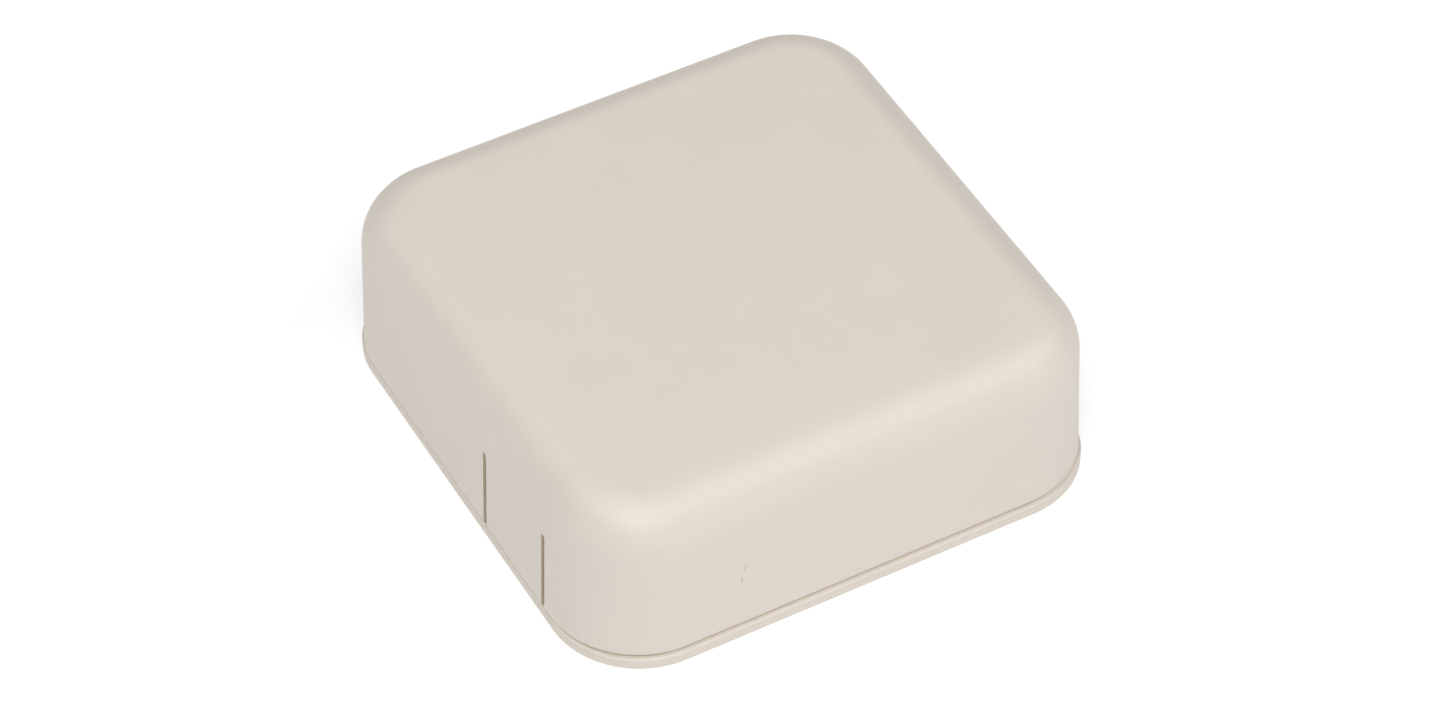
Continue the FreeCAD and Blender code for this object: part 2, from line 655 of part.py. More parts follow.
def make_base_plate():
    body = new_body("BasePlate")
    plate = new_sketch(body, "plate")
    add_rounded_rectangle(plate, 0, 0, dim.side, dim.plate_depth, dim.corner_radius)
    pad(body, plate, dim.lip_height)
    fillet(body, dim.lip_round, flat_at(dim.lip_height))
    fillet(body, dim.lip_under_round, flat_at(0))

    seat = new_sketch(body, "seat", dim.lip_height)
    add_ring(seat, cover_half - dim.seat_inset, rim_half - dim.rim_thickness)
    pad(body, seat, dim.shadow_gap)
    rim = new_sketch(body, "rim", dim.lip_height)
    add_ring(rim, rim_half, rim_half - dim.rim_thickness)
    pad(body, rim, dim.rim_top - dim.lip_height)

    standoffs = new_sketch(body, "standoffs", dim.lip_height)
    for x, y in board_screw_places():
        add_circle(standoffs, x, y, dim.standoff_radius)
    pad(body, standoffs, dim.standoff_height)
    collar = new_sketch(body, "collar", dim.lip_height)
    add_circle(collar, dim.entry_x, dim.entry_y, dim.entry_radius + dim.collar_thickness)
    pad(body, collar, dim.collar_height)

    ribs = new_sketch(body, "ribs", dim.lip_height)
    for side in (-1, 1):
        rib_y = dim.spreader_centre_y + side * (dim.spreader_y / 2 - dim.stake_margin)
        add_rectangle(ribs, dim.spreader_centre_x, rib_y, dim.spreader_x, dim.rib_thickness)
    pad(body, ribs, dim.rib_height)
    stakes = new_sketch(body, "stakes", dim.lip_height)
    for x, y in spreader_stakes():
        add_circle(stakes, x, y, dim.stake_radius)
    pad(body, stakes, dim.rib_height + dim.spreader_thickness + dim.stake_head)

    holders = new_sketch(body, "holders", dim.lip_height)
    for side in (-1, 1):
        for end in (-1, 1):
            holder_x = side * dim.strip_centre_x + end * dim.strip_length / 2
            add_rectangle(holders, holder_x, dim.strip_y, dim.holder_side, dim.holder_side)
    pad(body, holders, dim.holder_top - dim.lip_height)
    slots = new_sketch(body, "slots", dim.holder_top)
    for side in (-1, 1):
        add_rectangle(slots, side * dim.strip_centre_x, dim.strip_y,
                      dim.strip_length + 2 * dim.holder_play, dim.strip_thickness + 2 * dim.holder_play)
    pocket(body, slots, dim.holder_top - dim.strip_floor)

    pilots = new_sketch(body, "pilots", board_bottom)
    for x, y in board_screw_places():
        add_circle(pilots, x, y, dim.pilot_radius)
    pocket(body, pilots, board_bottom - dim.pilot_floor)
    entry = new_sketch(body, "entry", dim.lip_height + dim.collar_height)
    add_circle(entry, dim.entry_x, dim.entry_y, dim.entry_radius)
    pocket(body, entry, dim.lip_height + dim.collar_height)
    fixings = new_sketch(body, "fixings", dim.lip_height)
    sinks = new_sketch(body, "sinks", dim.lip_height)
    for x, y in square_places(dim.fixing_spacing):
        add_circle(fixings, x, y, dim.fixing_radius)
        add_circle(sinks, x, y, dim.fixing_counterbore)
    pocket(body, fixings, dim.lip_height)
    pocket(body, sinks, dim.counterbore_depth)

    # The seat and the rim stop behind the tongue, so that it can swing in.
    gap = new_sketch(body, "gap", dim.rim_top)
    add_rectangle(gap, dim.tongue_centre, -rim_half, dim.rim_break,
                  2 * (dim.rim_thickness + dim.cut_margin))
    pocket(body, gap, dim.rim_top - dim.lip_height)
    windows = new_sketch(body, "windows", dim.hook_level + dim.hook_thickness + dim.window_play)
    for side in (-1, 1):
        add_rectangle(windows, side * dim.hook_spacing / 2, rim_half - dim.rim_thickness / 2,
                      dim.hook_width + 2 * dim.window_play, dim.rim_thickness + dim.cut_margin)
    pocket(body, windows, dim.hook_thickness + 2 * dim.window_play)

    outer, inner = catch_faces()
    near, far = outer - dim.catch_play, inner + dim.catch_stroke
    window = new_sketch(body, "latch_window", dim.lip_height)
    window_width = dim.catch_width + 2 * dim.catch_play
    add_rectangle(window, dim.tongue_centre, (near + far) / 2, window_width, far - near)
    pocket(body, window, dim.lip_height)
    ledge_level = dim.catch_foot + dim.barb_height + dim.ledge_gap
    reach = outer - dim.barb_depth - dim.catch_play
    recess = new_sketch(body, "barb_recess", ledge_level)
    add_rectangle(recess, dim.tongue_centre, (reach + near) / 2, window_width, near - reach)
    pocket(body, recess, ledge_level)

    label = new_sketch(body, "label", dim.label_recess)
    add_rectangle(label, dim.label_centre_x, 0, dim.label_x + 2 * dim.label_play,
                  dim.label_y + 2 * dim.label_play)
    pocket(body, label, dim.label_recess)
    return keep(body, "base_plate")


def make_rating_label():
    label = block("RatingLabel", dim.label_centre_x, 0, dim.label_recess - dim.label_thickness,
                  dim.label_x, dim.label_y, dim.label_thickness)
    return keep(label, "rating_label")


def drafted_shell(name, half, radius, top, rounding):
    """A drafted rounded box on the cover's lower edge, with a rounded top edge."""
    body = new_body(name)
    outline = new_sketch(body, "outline", cover_bottom)
    add_rounded_rectangle(outline, 0, 0, half * 2, half * 2, radius)
    shell = pad(body, outline, top - cover_bottom)
    bind(shell, "TaperAngle", -dim.draft)
    doc.recompute()
    fillet(body, rounding, flat_at(top))
    return body


def make_cover_blank():
    """The whole cover before the tongue is cut free."""
    radius = dim.cover_radius
    outside = drafted_shell("CoverOutside", cover_half, radius, dim.height, dim.top_round)
    fillet(outside, dim.edge_break, flat_at(cover_bottom))
    cavity = drafted_shell("CoverCavity", inner_half, radius - dim.wall, ceiling, dim.top_round - dim.wall)
    shell = cut("CoverShell", outside, cavity)

    boss_level = ceiling - dim.boss_length
    boss = post("PipeBoss", dim.pipe_x, dim.pipe_y, boss_level, dim.boss_radius,
                dim.boss_length + dim.wall / 2)
    tip = inner_half - dim.hook_reach
    root = inner_half + dim.wall / 2
    hooks = [block("FixedHook", side * dim.hook_spacing / 2, (tip + root) / 2, dim.hook_level, dim.hook_width,
                   root - tip, dim.hook_thickness) for side in (-1, 1)]
    bore = post("PipeBore", dim.pipe_x, dim.pipe_y, boss_level, dim.pipe_radius + dim.pipe_play,
                dim.boss_length + dim.wall - dim.pipe_skin)
    return cut("CoverBlank", fuse("CoverWithBoss", shell, boss, *hooks), bore)


def make_catch():
    """The leg and barb that grow from the tongue's inner face and hook under the base plate."""
    body = new_body("Catch")
    outer, inner = catch_faces()
    tip = outer - dim.barb_depth
    shoulder = dim.catch_foot + dim.barb_height
    profile = new_sketch(body, "profile", dim.tongue_centre, "YZ_Plane")
    add_polygon(profile, [(outer, dim.catch_foot), (inner, dim.catch_foot), (inner, dim.catch_height),
                          (outer + dim.catch_bite / 2, dim.catch_height + dim.catch_gusset),
                          (outer, dim.catch_height + dim.catch_gusset), (outer, shoulder), (tip, shoulder),
                          (tip, dim.catch_foot + dim.catch_lead)])
    pad(body, profile, dim.catch_width, both_ways=True)
    return body


def make_cover_and_tongue():
    blank = make_cover_blank()
    wall_y = -cover_half
    depth = dim.wall * 4
    opening = block("TongueOpening", dim.tongue_centre, wall_y, 0, dim.slit_pitch + dim.slit_width, depth,
                    tongue_root)
    tops = []
    for side in (-1, 1):
        top = doc.addObject("Part::Cylinder", "SlitTop")
        top.Placement.Rotation = FreeCAD.Rotation(VECTOR(1, 0, 0), -90)
        bind(top, "Radius", dim.slit_width / 2)
        bind(top, "Height", depth)
        bind(top, "Placement.Base.x", dim.tongue_centre + side * dim.slit_pitch / 2)
        bind(top, "Placement.Base.y", wall_y - depth / 2)
        bind(top, "Placement.Base.z", tongue_root)
        tops.append(top)
    slits = fuse("TongueSlits", opening, *tops)
    keep(cut("TopCover", blank, slits), "top_cover")

    strip = block("TongueStrip", dim.tongue_centre, wall_y, 0, dim.slit_pitch - dim.slit_width, depth,
                  tongue_root)
    tongue = common("TongueWall", blank, strip)
    keep(fuse("ReleaseTongue", tongue, make_catch()), "release_tongue")


# ---------------------------------------------------------------- main board and heat path


def make_main_board():
    body = new_body("MainBoard")
    right, far = dim.board_x / 2, dim.board_y / 2
    outline = new_sketch(body, "outline", board_bottom)
    add_polygon(outline, [(dim.well_x, -far), (right, -far), (right, far), (-right, far),
                          (-right, dim.well_y), (dim.well_x, dim.well_y)])
    pad(body, outline, dim.board_thickness)
    fillet(body, dim.board_round, upright(dim.board_thickness / 2))
    holes = new_sketch(body, "holes", board_top)
    for x, y in board_screw_places():
        add_circle(holes, x, y, dim.board_hole)
    pocket(body, holes, dim.board_thickness)
    return keep(body, "main_board")


def add_cross(sketch, x, y, arm, slot):
    """A plus-shaped outline."""
    a, b = arm / 2, slot / 2
    steps = [(b, a), (b, b), (a, b), (a, -b), (b, -b), (b, -a),
             (-b, -a), (-b, -b), (-a, -b), (-a, b), (-b, b), (-b, a)]
    add_polygon(sketch, [(x + step_x, y + step_y) for step_x, step_y in steps])


def make_board_screws():
    body = new_body("BoardScrews")
    heads = new_sketch(body, "heads", board_top)
    shanks = new_sketch(body, "shanks", board_top)
    recesses = new_sketch(body, "recesses", board_top + dim.screw_head_height)
    for x, y in board_screw_places():
        add_circle(heads, x, y, dim.screw_head)
        add_circle(shanks, x, y, dim.screw_shank)
        add_cross(recesses, x, y, dim.recess_arm, dim.recess_slot)
    pad(body, heads, dim.screw_head_height)
    fillet(body, dim.screw_head_height / 2, flat_at(board_top + dim.screw_head_height))
    pad(body, shanks, dim.screw_length, reverse=True)
    pocket(body, recesses, dim.recess_depth)
    return keep(body, "board_screws")


def make_processor_stack():
    x, y = dim.processor_x, dim.processor_y
    body = new_body("MainProcessor")
    carrier = new_sketch(body, "carrier", board_top)
    add_rectangle(carrier, x, y, dim.processor_side, dim.processor_side)
    pad(body, carrier, dim.processor_height / 2)
    lid = new_sketch(body, "lid", board_top)
    add_rectangle(lid, x, y, dim.processor_lid, dim.processor_lid)
    pad(body, lid, dim.processor_height)
    keep(body, "main_processor")

    tape_level = board_top + dim.processor_height
    keep(block("ThermalTape", x, y, tape_level, dim.processor_lid, dim.processor_lid, dim.tape_thickness),
         "thermal_tape")

    sink = new_body("HeatSink")
    sink_level = tape_level + dim.tape_thickness
    foot = new_sketch(sink, "foot", sink_level)
    add_rectangle(foot, x, y, dim.sink_side, dim.sink_side)
    pad(sink, foot, dim.sink_base)
    fin = new_sketch(sink, "fin", sink_level)
    first_x = x - dim.sink_side / 2 + dim.fin_thickness / 2
    add_rectangle(fin, first_x, y, dim.fin_thickness, dim.sink_side)
    first = pad(sink, fin, dim.sink_height)
    pattern(sink, first, "X_Axis", FIN_COUNT, (dim.sink_side - dim.fin_thickness) / (FIN_COUNT - 1))
    keep(sink, "heat_sink")


def make_heat_spreader():
    body = new_body("HeatSpreader")
    level = dim.lip_height + dim.rib_height
    middle_x, middle_y = dim.spreader_centre_x, dim.spreader_centre_y
    sheet = new_sketch(body, "sheet", level)
    add_rectangle(sheet, middle_x, middle_y, dim.spreader_x, dim.spreader_y)
    pad(body, sheet, dim.spreader_thickness)
    fillet(body, dim.board_round, upright(dim.spreader_thickness / 2))
    holes = new_sketch(body, "holes", level + dim.spreader_thickness)
    for x, y in spreader_stakes():
        add_circle(holes, x, y, dim.stake_radius + dim.stake_play)
    pocket(body, holes, dim.spreader_thickness)
    keep(body, "heat_spreader")
    pad_level = level + dim.spreader_thickness
    keep(block("ThermalPad", dim.processor_x, dim.processor_y, pad_level, dim.pad_side, dim.pad_side,
               board_bottom - pad_level), "thermal_pad")


# ---------------------------------------------------------------- network and power parts


def leaded_chip(body_name, label, x, y, width, depth, tall, leads, pitch):
    """A moulded chip with a row of gull-wing leads along both of its long sides (along Y)."""
    body = new_body(body_name)
    case = new_sketch(body, "case", board_top + dim.chip_lift)
    add_rectangle(case, x, y, width, depth)
    pad(body, case, tall - dim.chip_lift)
    feet = new_sketch(body, "feet", board_top)
    for side in (-1, 1):
        for lead in range(leads):
            lead_y = y + pitch * (lead - (leads - 1) / 2)
            lead_x = x + side * (width / 2 + dim.lead_length / 2 - dim.lead_bite / 2)
            add_rectangle(feet, lead_x, lead_y, dim.lead_length + dim.lead_bite, dim.lead_width)
    pad(body, feet, dim.chip_lift + dim.lead_thickness)
    return keep(body, label)


def make_jack():
    back = jack_front + dim.jack_length
    middle_x = (jack_front + back) / 2
    shell_outside = block("JackOutside", middle_x, dim.jack_y, board_top, dim.jack_length, dim.jack_width,
                          dim.jack_height)
    shell_inside = block("JackInside", middle_x - dim.sheet_metal, dim.jack_y, board_top, dim.jack_length,
                         dim.jack_width - 2 * dim.sheet_metal, dim.jack_height - dim.sheet_metal)
    keep(cut("JackShell", shell_outside, shell_inside), "jack_shell")

    insert_length = dim.jack_length - 2 * dim.sheet_metal
    insert_x = back - dim.sheet_metal - insert_length / 2
    insert = block("JackInsertBlock", insert_x, dim.jack_y, board_top, insert_length,
                   dim.jack_width - 2 * dim.sheet_metal, dim.jack_height - dim.sheet_metal)
    floor = board_top + dim.plug_floor
    socket_x = jack_front + dim.plug_depth / 2
    socket = block("JackSocket", socket_x, dim.jack_y, floor, dim.plug_depth, dim.plug_width, dim.plug_height)
    key = block("JackKey", socket_x, dim.jack_y, floor, dim.plug_depth, dim.key_width,
                dim.plug_height + dim.key_height)
    keep(cut("JackInsert", insert, fuse("JackHollow", socket, key)), "jack_insert")

    body = new_body("JackContacts")
    row_start = dim.jack_y - dim.contact_pitch * (CONTACT_COUNT - 1) / 2
    profile = new_sketch(body, "profile", -row_start, "XZ_Plane")
    deep = jack_front + dim.plug_depth
    add_polygon(profile, [(deep, floor), (deep, floor + dim.contact_thickness * 2),
                          (deep - dim.contact_run, floor + dim.contact_rise),
                          (deep - dim.contact_run - dim.contact_thickness, floor + dim.contact_rise),
                          (deep - dim.contact_thickness, floor)])
    first = pad(body, profile, dim.contact_width, both_ways=True)
    pattern(body, first, "Y_Axis", CONTACT_COUNT, dim.contact_pitch)
    keep(body, "jack_contacts")


def make_transformer():
    x, y = dim.transformer_x, dim.transformer_y
    core_level = board_top + dim.bobbin_base
    core = block("CoreBlock", x, y, core_level, dim.core_width, dim.core_depth, dim.core_height)
    window_height = dim.core_height - 2 * dim.core_wall
    window = block("CoreWindow", x, y, core_level + dim.core_wall, dim.core_width - 2 * dim.core_wall,
                   dim.core_depth, window_height)
    keep(cut("TransformerCore", core, window), "transformer_core")

    base = block("BobbinBase", x, y, board_top, dim.core_width + dim.cheek_thickness, dim.bobbin_depth,
                 dim.bobbin_base)
    winding = block("BobbinWinding", x, y, core_level + dim.core_wall + dim.winding_play,
                    dim.core_width - 2 * dim.core_wall - 2 * dim.winding_play, dim.bobbin_depth,
                    window_height - 2 * dim.winding_play)
    cheeks = []
    for side in (-1, 1):
        cheek_y = y + side * (dim.bobbin_depth - dim.cheek_thickness) / 2
        cheeks.append(block("BobbinCheek", x, cheek_y, board_top, dim.core_width - dim.core_wall,
                            dim.cheek_thickness, dim.bobbin_base + dim.core_height - dim.core_wall / 2))
    keep(fuse("TransformerBobbin", base, winding, *cheeks), "transformer_bobbin")


def make_round_capacitors(body_name, label, places, radius, tall):
    """Upright electrolytic cans with the crimped groove above their foot."""
    body = new_body(body_name)
    neck = dim.crimp_level
    levels = [(board_top, radius, neck), (board_top, radius - dim.crimp_inset, neck + dim.crimp_height),
              (board_top + neck + dim.crimp_height, radius, tall - neck - dim.crimp_height)]
    for number, (level, ring_radius, length) in enumerate(levels):
        ring = new_sketch(body, f"ring{number}", level)
        for x, y in places:
            add_circle(ring, x, y, ring_radius)
        pad(body, ring, length)
    fillet(body, dim.can_round, flat_at(board_top + tall))
    return keep(body, label)


def make_inductor():
    body = new_body("PowerInductor")
    case = new_sketch(body, "case", board_top)
    add_rounded_rectangle(case, dim.inductor_x, dim.inductor_y, dim.inductor_side, dim.inductor_side,
                          dim.inductor_round)
    pad(body, case, dim.inductor_height)
    dish = new_sketch(body, "dish", board_top + dim.inductor_height)
    add_circle(dish, dim.inductor_x, dim.inductor_y, dim.dish_radius)
    pocket(body, dish, dim.dish_depth)
    return keep(body, "power_inductor")


def make_small_parts():
    """Chip resistors and capacitors, and the four-pin service header."""
    body = new_body("ChipPassives")
    for row, (start_x, start_y, count, step) in enumerate(PASSIVE_ROWS):
        chip = new_sketch(body, f"row{row}", board_top)
        add_rectangle(chip, start_x, start_y, dim.passive_x, dim.passive_y)
        pattern(body, pad(body, chip, dim.passive_height), "X_Axis", count, size(step))
    keep(body, "chip_passives")

    header = new_body("ServiceHeader")
    row_x, row_y = dim.header_x, dim.header_y
    base = new_sketch(header, "base", board_top)
    add_rectangle(base, row_x, row_y, dim.header_pitch * HEADER_PINS, dim.header_pitch)
    pad(header, base, dim.header_pitch)
    pins = new_sketch(header, "pins", board_top)
    for number in range(HEADER_PINS):
        pin_x = row_x + dim.header_pitch * (number - (HEADER_PINS - 1) / 2)
        add_rectangle(pins, pin_x, row_y, dim.pin_side, dim.pin_side)
    pad(header, pins, dim.header_height)
    keep(header, "service_header")


def make_plain_chips():
    memory = []
    for side in (-1, 1):
        memory.append(block("Memory", dim.processor_x + side * dim.memory_pitch / 2, dim.memory_y, board_top,
                            dim.memory_x, dim.memory_depth, dim.memory_height))
    keep(together("MemoryChips", memory), "memory_chips")
    crystal = block("CrystalCan", dim.crystal_x, dim.crystal_y, board_top, dim.crystal_length,
                    dim.crystal_width, dim.crystal_height)
    keep(softened("Crystal", crystal, dim.crystal_round, upright(dim.crystal_height / 2)), "crystal")


# ---------------------------------------------------------------- radio and aerials


def make_pair(thing, label):
    """Keeps a right-hand sub-part and its mirror image on the left."""
    keep(thing, f"{label}_right")
    keep(mirrored(f"{thing.Name}Left", thing, VECTOR(1, 0, 0)), f"{label}_left")


def make_shield_cans():
    x, y = dim.shield_pitch / 2, dim.shield_centre_y
    body = new_body("ShieldCan")
    outside = new_sketch(body, "outside", board_top)
    add_rounded_rectangle(outside, x, y, dim.shield_x, dim.shield_y, dim.sheet_metal * 3)
    pad(body, outside, dim.shield_height)
    inside = new_sketch(body, "inside", board_top + dim.shield_height - dim.sheet_metal)
    add_rounded_rectangle(inside, x, y, dim.shield_x - 2 * dim.sheet_metal,
                          dim.shield_y - 2 * dim.sheet_metal, dim.sheet_metal * 2)
    pocket(body, inside, dim.shield_height - dim.sheet_metal)
    vents = new_sketch(body, "vents", board_top + dim.shield_height)
    for column in range(VENT_COLUMNS):
        for row in range(VENT_ROWS):
            add_circle(vents, x + dim.vent_pitch * (column - (VENT_COLUMNS - 1) / 2),
                       y + dim.vent_pitch * (row - (VENT_ROWS - 1) / 2), dim.vent_radius)
    pocket(body, vents, dim.sheet_metal)
    make_pair(body, "shield_can")
    chip = block("RadioChip", x, y, board_top, dim.radio_side, dim.radio_side, dim.radio_height)
    make_pair(chip, "radio_chip")


def make_stamped_aerials():
    x = dim.board_x / 2 - dim.aerial_edge - dim.aerial_x / 2
    start, end = dim.aerial_foot_y, dim.aerial_foot_y + dim.aerial_y
    top = board_top + dim.aerial_height
    sheet = dim.aerial_sheet
    body = new_body("StampedAerial")
    profile = new_sketch(body, "profile", x, "YZ_Plane")
    add_polygon(profile, [(start, board_top), (start + sheet, board_top), (start + sheet, top - sheet),
                          (end, top - sheet), (end, top), (start, top)])
    pad(body, profile, dim.aerial_x, both_ways=True)
    feed = new_sketch(body, "feed", board_top)
    add_rectangle(feed, x - dim.aerial_x / 2 + sheet / 2, start + dim.feed_offset, sheet, dim.feed_width)
    pad(body, feed, dim.aerial_height)
    slot = new_sketch(body, "slot", top)
    add_rectangle(slot, x + dim.aerial_x / 6, (start + end) / 2 + dim.feed_offset, sheet * 3,
                  dim.aerial_y / 2)
    pocket(body, slot, sheet)
    make_pair(body, "stamped_aerial")


def make_aerial_boards():
    strip = block("AerialBoard", dim.strip_centre_x, dim.strip_y, dim.strip_floor, dim.strip_length,
                  dim.strip_thickness, dim.strip_height)
    make_pair(strip, "aerial_board")


def make_leads():
    """Thin coaxial leads from the board's plugs to the upright aerial boards."""
    level = board_top + dim.coax_plug_height / 2
    plug = post("CoaxPlug", dim.coax_plug_x, dim.coax_plug_y, board_top, dim.coax_plug_radius,
                dim.coax_plug_height)
    crimp = doc.addObject("Part::Cylinder", "CoaxCrimp")
    crimp.Placement.Rotation = FreeCAD.Rotation(VECTOR(1, 0, 0), -90)
    bind(crimp, "Radius", dim.crimp_radius)
    bind(crimp, "Height", dim.coax_plug_radius + dim.crimp_length)
    bind(crimp, "Placement.Base.x", dim.coax_plug_x)
    bind(crimp, "Placement.Base.y", dim.coax_plug_y)
    bind(crimp, "Placement.Base.z", level)
    make_pair(fuse("CoaxConnector", plug, crimp), "coax_plug")

    bend = dim.lead_bend
    start_y = dim.coax_plug_y + dim.coax_plug_radius + dim.crimp_length
    first_y = start_y + dim.lead_straight
    end_y = dim.strip_y - dim.strip_thickness / 2
    start_x, end_x = dim.coax_plug_x, dim.coax_plug_x - dim.lead_shift
    body = new_body("CoaxLead")
    path = new_sketch(body, "path", level)
    straights = [((start_x, start_y), (start_x, first_y)),
                 ((start_x - bend, first_y + bend), (end_x + bend, first_y + bend)),
                 ((end_x, first_y + bend * 2), (end_x, end_y))]
    for start, end in straights:
        points = [VECTOR(size(x).value, size(y).value, 0) for x, y in (start, end)]
        path.addGeometry(Part.LineSegment(*points), False)
    turns = ((start_x - bend, first_y, 0), (end_x + bend, first_y + bend * 2, math.pi))
    for centre_x, centre_y, angle in turns:
        circle = Part.Circle(VECTOR(centre_x.value, centre_y.value, 0), VECTOR(0, 0, 1), bend.value)
        path.addGeometry(Part.ArcOfCircle(circle, angle, angle + math.pi / 2), False)
    for line, (start, end) in enumerate(straights):
        place_point(path, line, 1, *start)
        place_point(path, line, 2, *end)
    path.addConstraint(Sketcher.Constraint("Tangent", 0, 2, 3, 1))
    path.addConstraint(Sketcher.Constraint("Coincident", 3, 2, 1, 1))
    path.addConstraint(Sketcher.Constraint("Tangent", 1, 2, 4, 2))
    path.addConstraint(Sketcher.Constraint("Coincident", 4, 1, 2, 1))
    ring = new_sketch(body, "ring", -start_y, "XZ_Plane")
    add_circle(ring, start_x, level, dim.coax_radius)
    doc.recompute()
    tube = body.newObject("PartDesign::AdditivePipe", "CoaxLead_tube")
    tube.Profile = ring
    tube.Spine = (path, [f"Edge{i + 1}" for i in range(5)])
    doc.recompute()
    make_pair(body, "coax_lead")


# ---------------------------------------------------------------- indicator and reset


def make_indicator():
    lamp = block("StatusLamp", dim.pipe_x, dim.pipe_y, board_top, dim.lamp_side, dim.lamp_side,
                 dim.lamp_height)
    keep(lamp, "status_lamp")
    foot = board_top + dim.lamp_height + dim.pipe_gap
    pipe = post("LightPipe", dim.pipe_x, dim.pipe_y, foot, dim.pipe_radius, dim.height - dim.pipe_skin - foot)
    keep(pipe, "light_pipe")


def make_reset():
    x, y = dim.switch_x, dim.switch_y
    top = board_top + dim.switch_height
    case = block("SwitchCase", x, y, board_top, dim.switch_side, dim.switch_side, dim.switch_height)
    well = post("SwitchWell", x, y, top - dim.plunger_well, dim.plunger_radius + dim.plunger_play,
                dim.plunger_well)
    keep(cut("ResetSwitch", case, well), "reset_switch")
    foot = top + dim.plunger_stand - dim.plunger_height
    pin = post("ResetPin", x, y, foot, dim.plunger_radius, dim.plunger_height)
    keep(softened("ResetPlunger", pin, dim.plunger_round, flat_at(top + dim.plunger_stand)), "reset_plunger")


# ---------------------------------------------------------------- the whole model


def check_document():
    """Stops on any failed object or unsound shape."""
    for thing in doc.Objects:
        if "Invalid" in thing.State or "Error" in thing.State:
            raise RuntimeError(f"{thing.Name} did not recompute: {thing.State}")
    for thing in kept:
        if thing.Shape.isNull() or not thing.Shape.isValid() or not thing.Shape.Solids:
            raise RuntimeError(f"{thing.Label} has no sound solid")


def export_parts():
    os.makedirs(OUT_FOLDER, exist_ok=True)
    for thing in kept:
        thing.Shape.exportStep(os.path.join(OUT_FOLDER, f"{thing.Label}.step"))
        box = thing.Shape.BoundBox
        print(f"{thing.Label}: {len(thing.Shape.Solids)} solids, {thing.Shape.Volume:.1f} mm3, "
              f"x {box.XMin:.2f} {box.XMax:.2f}, y {box.YMin:.2f} {box.YMax:.2f}, "
              f"z {box.ZMin:.2f} {box.ZMax:.2f}")


make_base_plate()
make_rating_label()
make_cover_and_tongue()
make_main_board()
make_board_screws()
make_processor_stack()
make_heat_spreader()
make_jack()
leaded_chip("NetworkMagnetics", "network_magnetics", dim.magnetics_x, dim.jack_y, dim.magnetics_width,
            dim.magnetics_depth, dim.magnetics_height, 8, dim.magnetics_pitch)
make_transformer()
make_round_capacitors("BulkCapacitors", "bulk_capacitors",
                      [(dim.bulk_x, dim.bulk_first), (dim.bulk_x, dim.bulk_second)],
                      dim.bulk_radius, dim.bulk_height)
make_round_capacitors("FilterCapacitors", "filter_capacitors",
                      [(dim.filter_x, dim.filter_y + step * dim.filter_pitch) for step in range(3)],
                      dim.filter_radius, dim.filter_height)
make_inductor()
leaded_chip("BridgeRectifier", "bridge_rectifier", dim.bridge_x, dim.bridge_y, dim.bridge_width,
            dim.bridge_depth, dim.bridge_height, 2, dim.bridge_pitch)
leaded_chip("FlashChip", "flash_chip", dim.flash_x, dim.flash_y, dim.flash_width, dim.flash_depth,
            dim.flash_height, 4, dim.flash_pitch)
make_plain_chips()
make_small_parts()
make_shield_cans()
make_stamped_aerials()
make_aerial_boards()
make_leads()
make_indicator()
make_reset()
doc.recompute()
check_document()
export_parts()
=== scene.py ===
import math
import random

import bmesh
import bpy
from mathutils import Matrix, Vector


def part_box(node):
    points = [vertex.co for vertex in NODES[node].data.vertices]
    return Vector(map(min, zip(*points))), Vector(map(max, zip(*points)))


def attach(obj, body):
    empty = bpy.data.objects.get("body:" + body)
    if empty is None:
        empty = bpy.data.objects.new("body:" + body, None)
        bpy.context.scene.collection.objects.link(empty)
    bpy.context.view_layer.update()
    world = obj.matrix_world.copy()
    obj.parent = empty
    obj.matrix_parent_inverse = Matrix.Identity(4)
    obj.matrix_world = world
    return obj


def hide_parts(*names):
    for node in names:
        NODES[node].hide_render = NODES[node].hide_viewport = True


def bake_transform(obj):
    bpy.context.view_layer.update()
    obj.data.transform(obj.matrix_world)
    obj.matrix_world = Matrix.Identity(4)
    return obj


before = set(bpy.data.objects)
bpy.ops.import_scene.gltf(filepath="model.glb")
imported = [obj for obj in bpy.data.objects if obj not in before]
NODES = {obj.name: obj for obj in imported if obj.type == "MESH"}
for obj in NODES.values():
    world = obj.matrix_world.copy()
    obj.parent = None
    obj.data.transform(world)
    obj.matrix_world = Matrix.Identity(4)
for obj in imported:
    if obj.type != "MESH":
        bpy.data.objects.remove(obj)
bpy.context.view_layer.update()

MM = 0.001
BOARD_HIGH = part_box("main_board")[1]
COVER_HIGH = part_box("top_cover")[1]
BASE_LOW, BASE_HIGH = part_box("base_plate")
BOARD_TOP = BOARD_HIGH.z
SIDE = BASE_HIGH.x - BASE_LOW.x

# Moulded details that looks and pieces follow; the tongue's wall is sliced over its topmost stretch.
CORNER_RADIUS = 20 * MM
WALL_FACE = 55 * MM
LIP_TOP = 2.6 * MM
SLIT = 1.3 * MM
SLIT_TOP = 23.6 * MM
TONGUE_BEND = 9 * MM
TONGUE_SLICES = 12

# Copper, solder and print stand on the board, and reach a hair into it so that no crack shows.
FOOT = BOARD_TOP - 0.01 * MM
COPPER_TOP = BOARD_TOP + 0.03 * MM
VIA_TOP = BOARD_TOP + 0.035 * MM
PAD_TOP = BOARD_TOP + 0.04 * MM
INK_TOP = BOARD_TOP + 0.02 * MM

# The board's corner below and left of this point is cut away for the cable.
WELL_X = -14 * MM
WELL_Y = -8 * MM

# Camera: focal length on a 36 mm sensor, angles in radians, and places in lengths of the base plate.
LENS_MM = 128.99
SENSOR_MM = 36.0
CAMERA_AZIMUTH = 1.07362
CAMERA_ELEVATION = 0.79807
CAMERA_ROLL = -0.00837
CAMERA_DISTANCE = 8.87484
CAMERA_ASIDE = 0.00823
CAMERA_RAISED = 0.07319

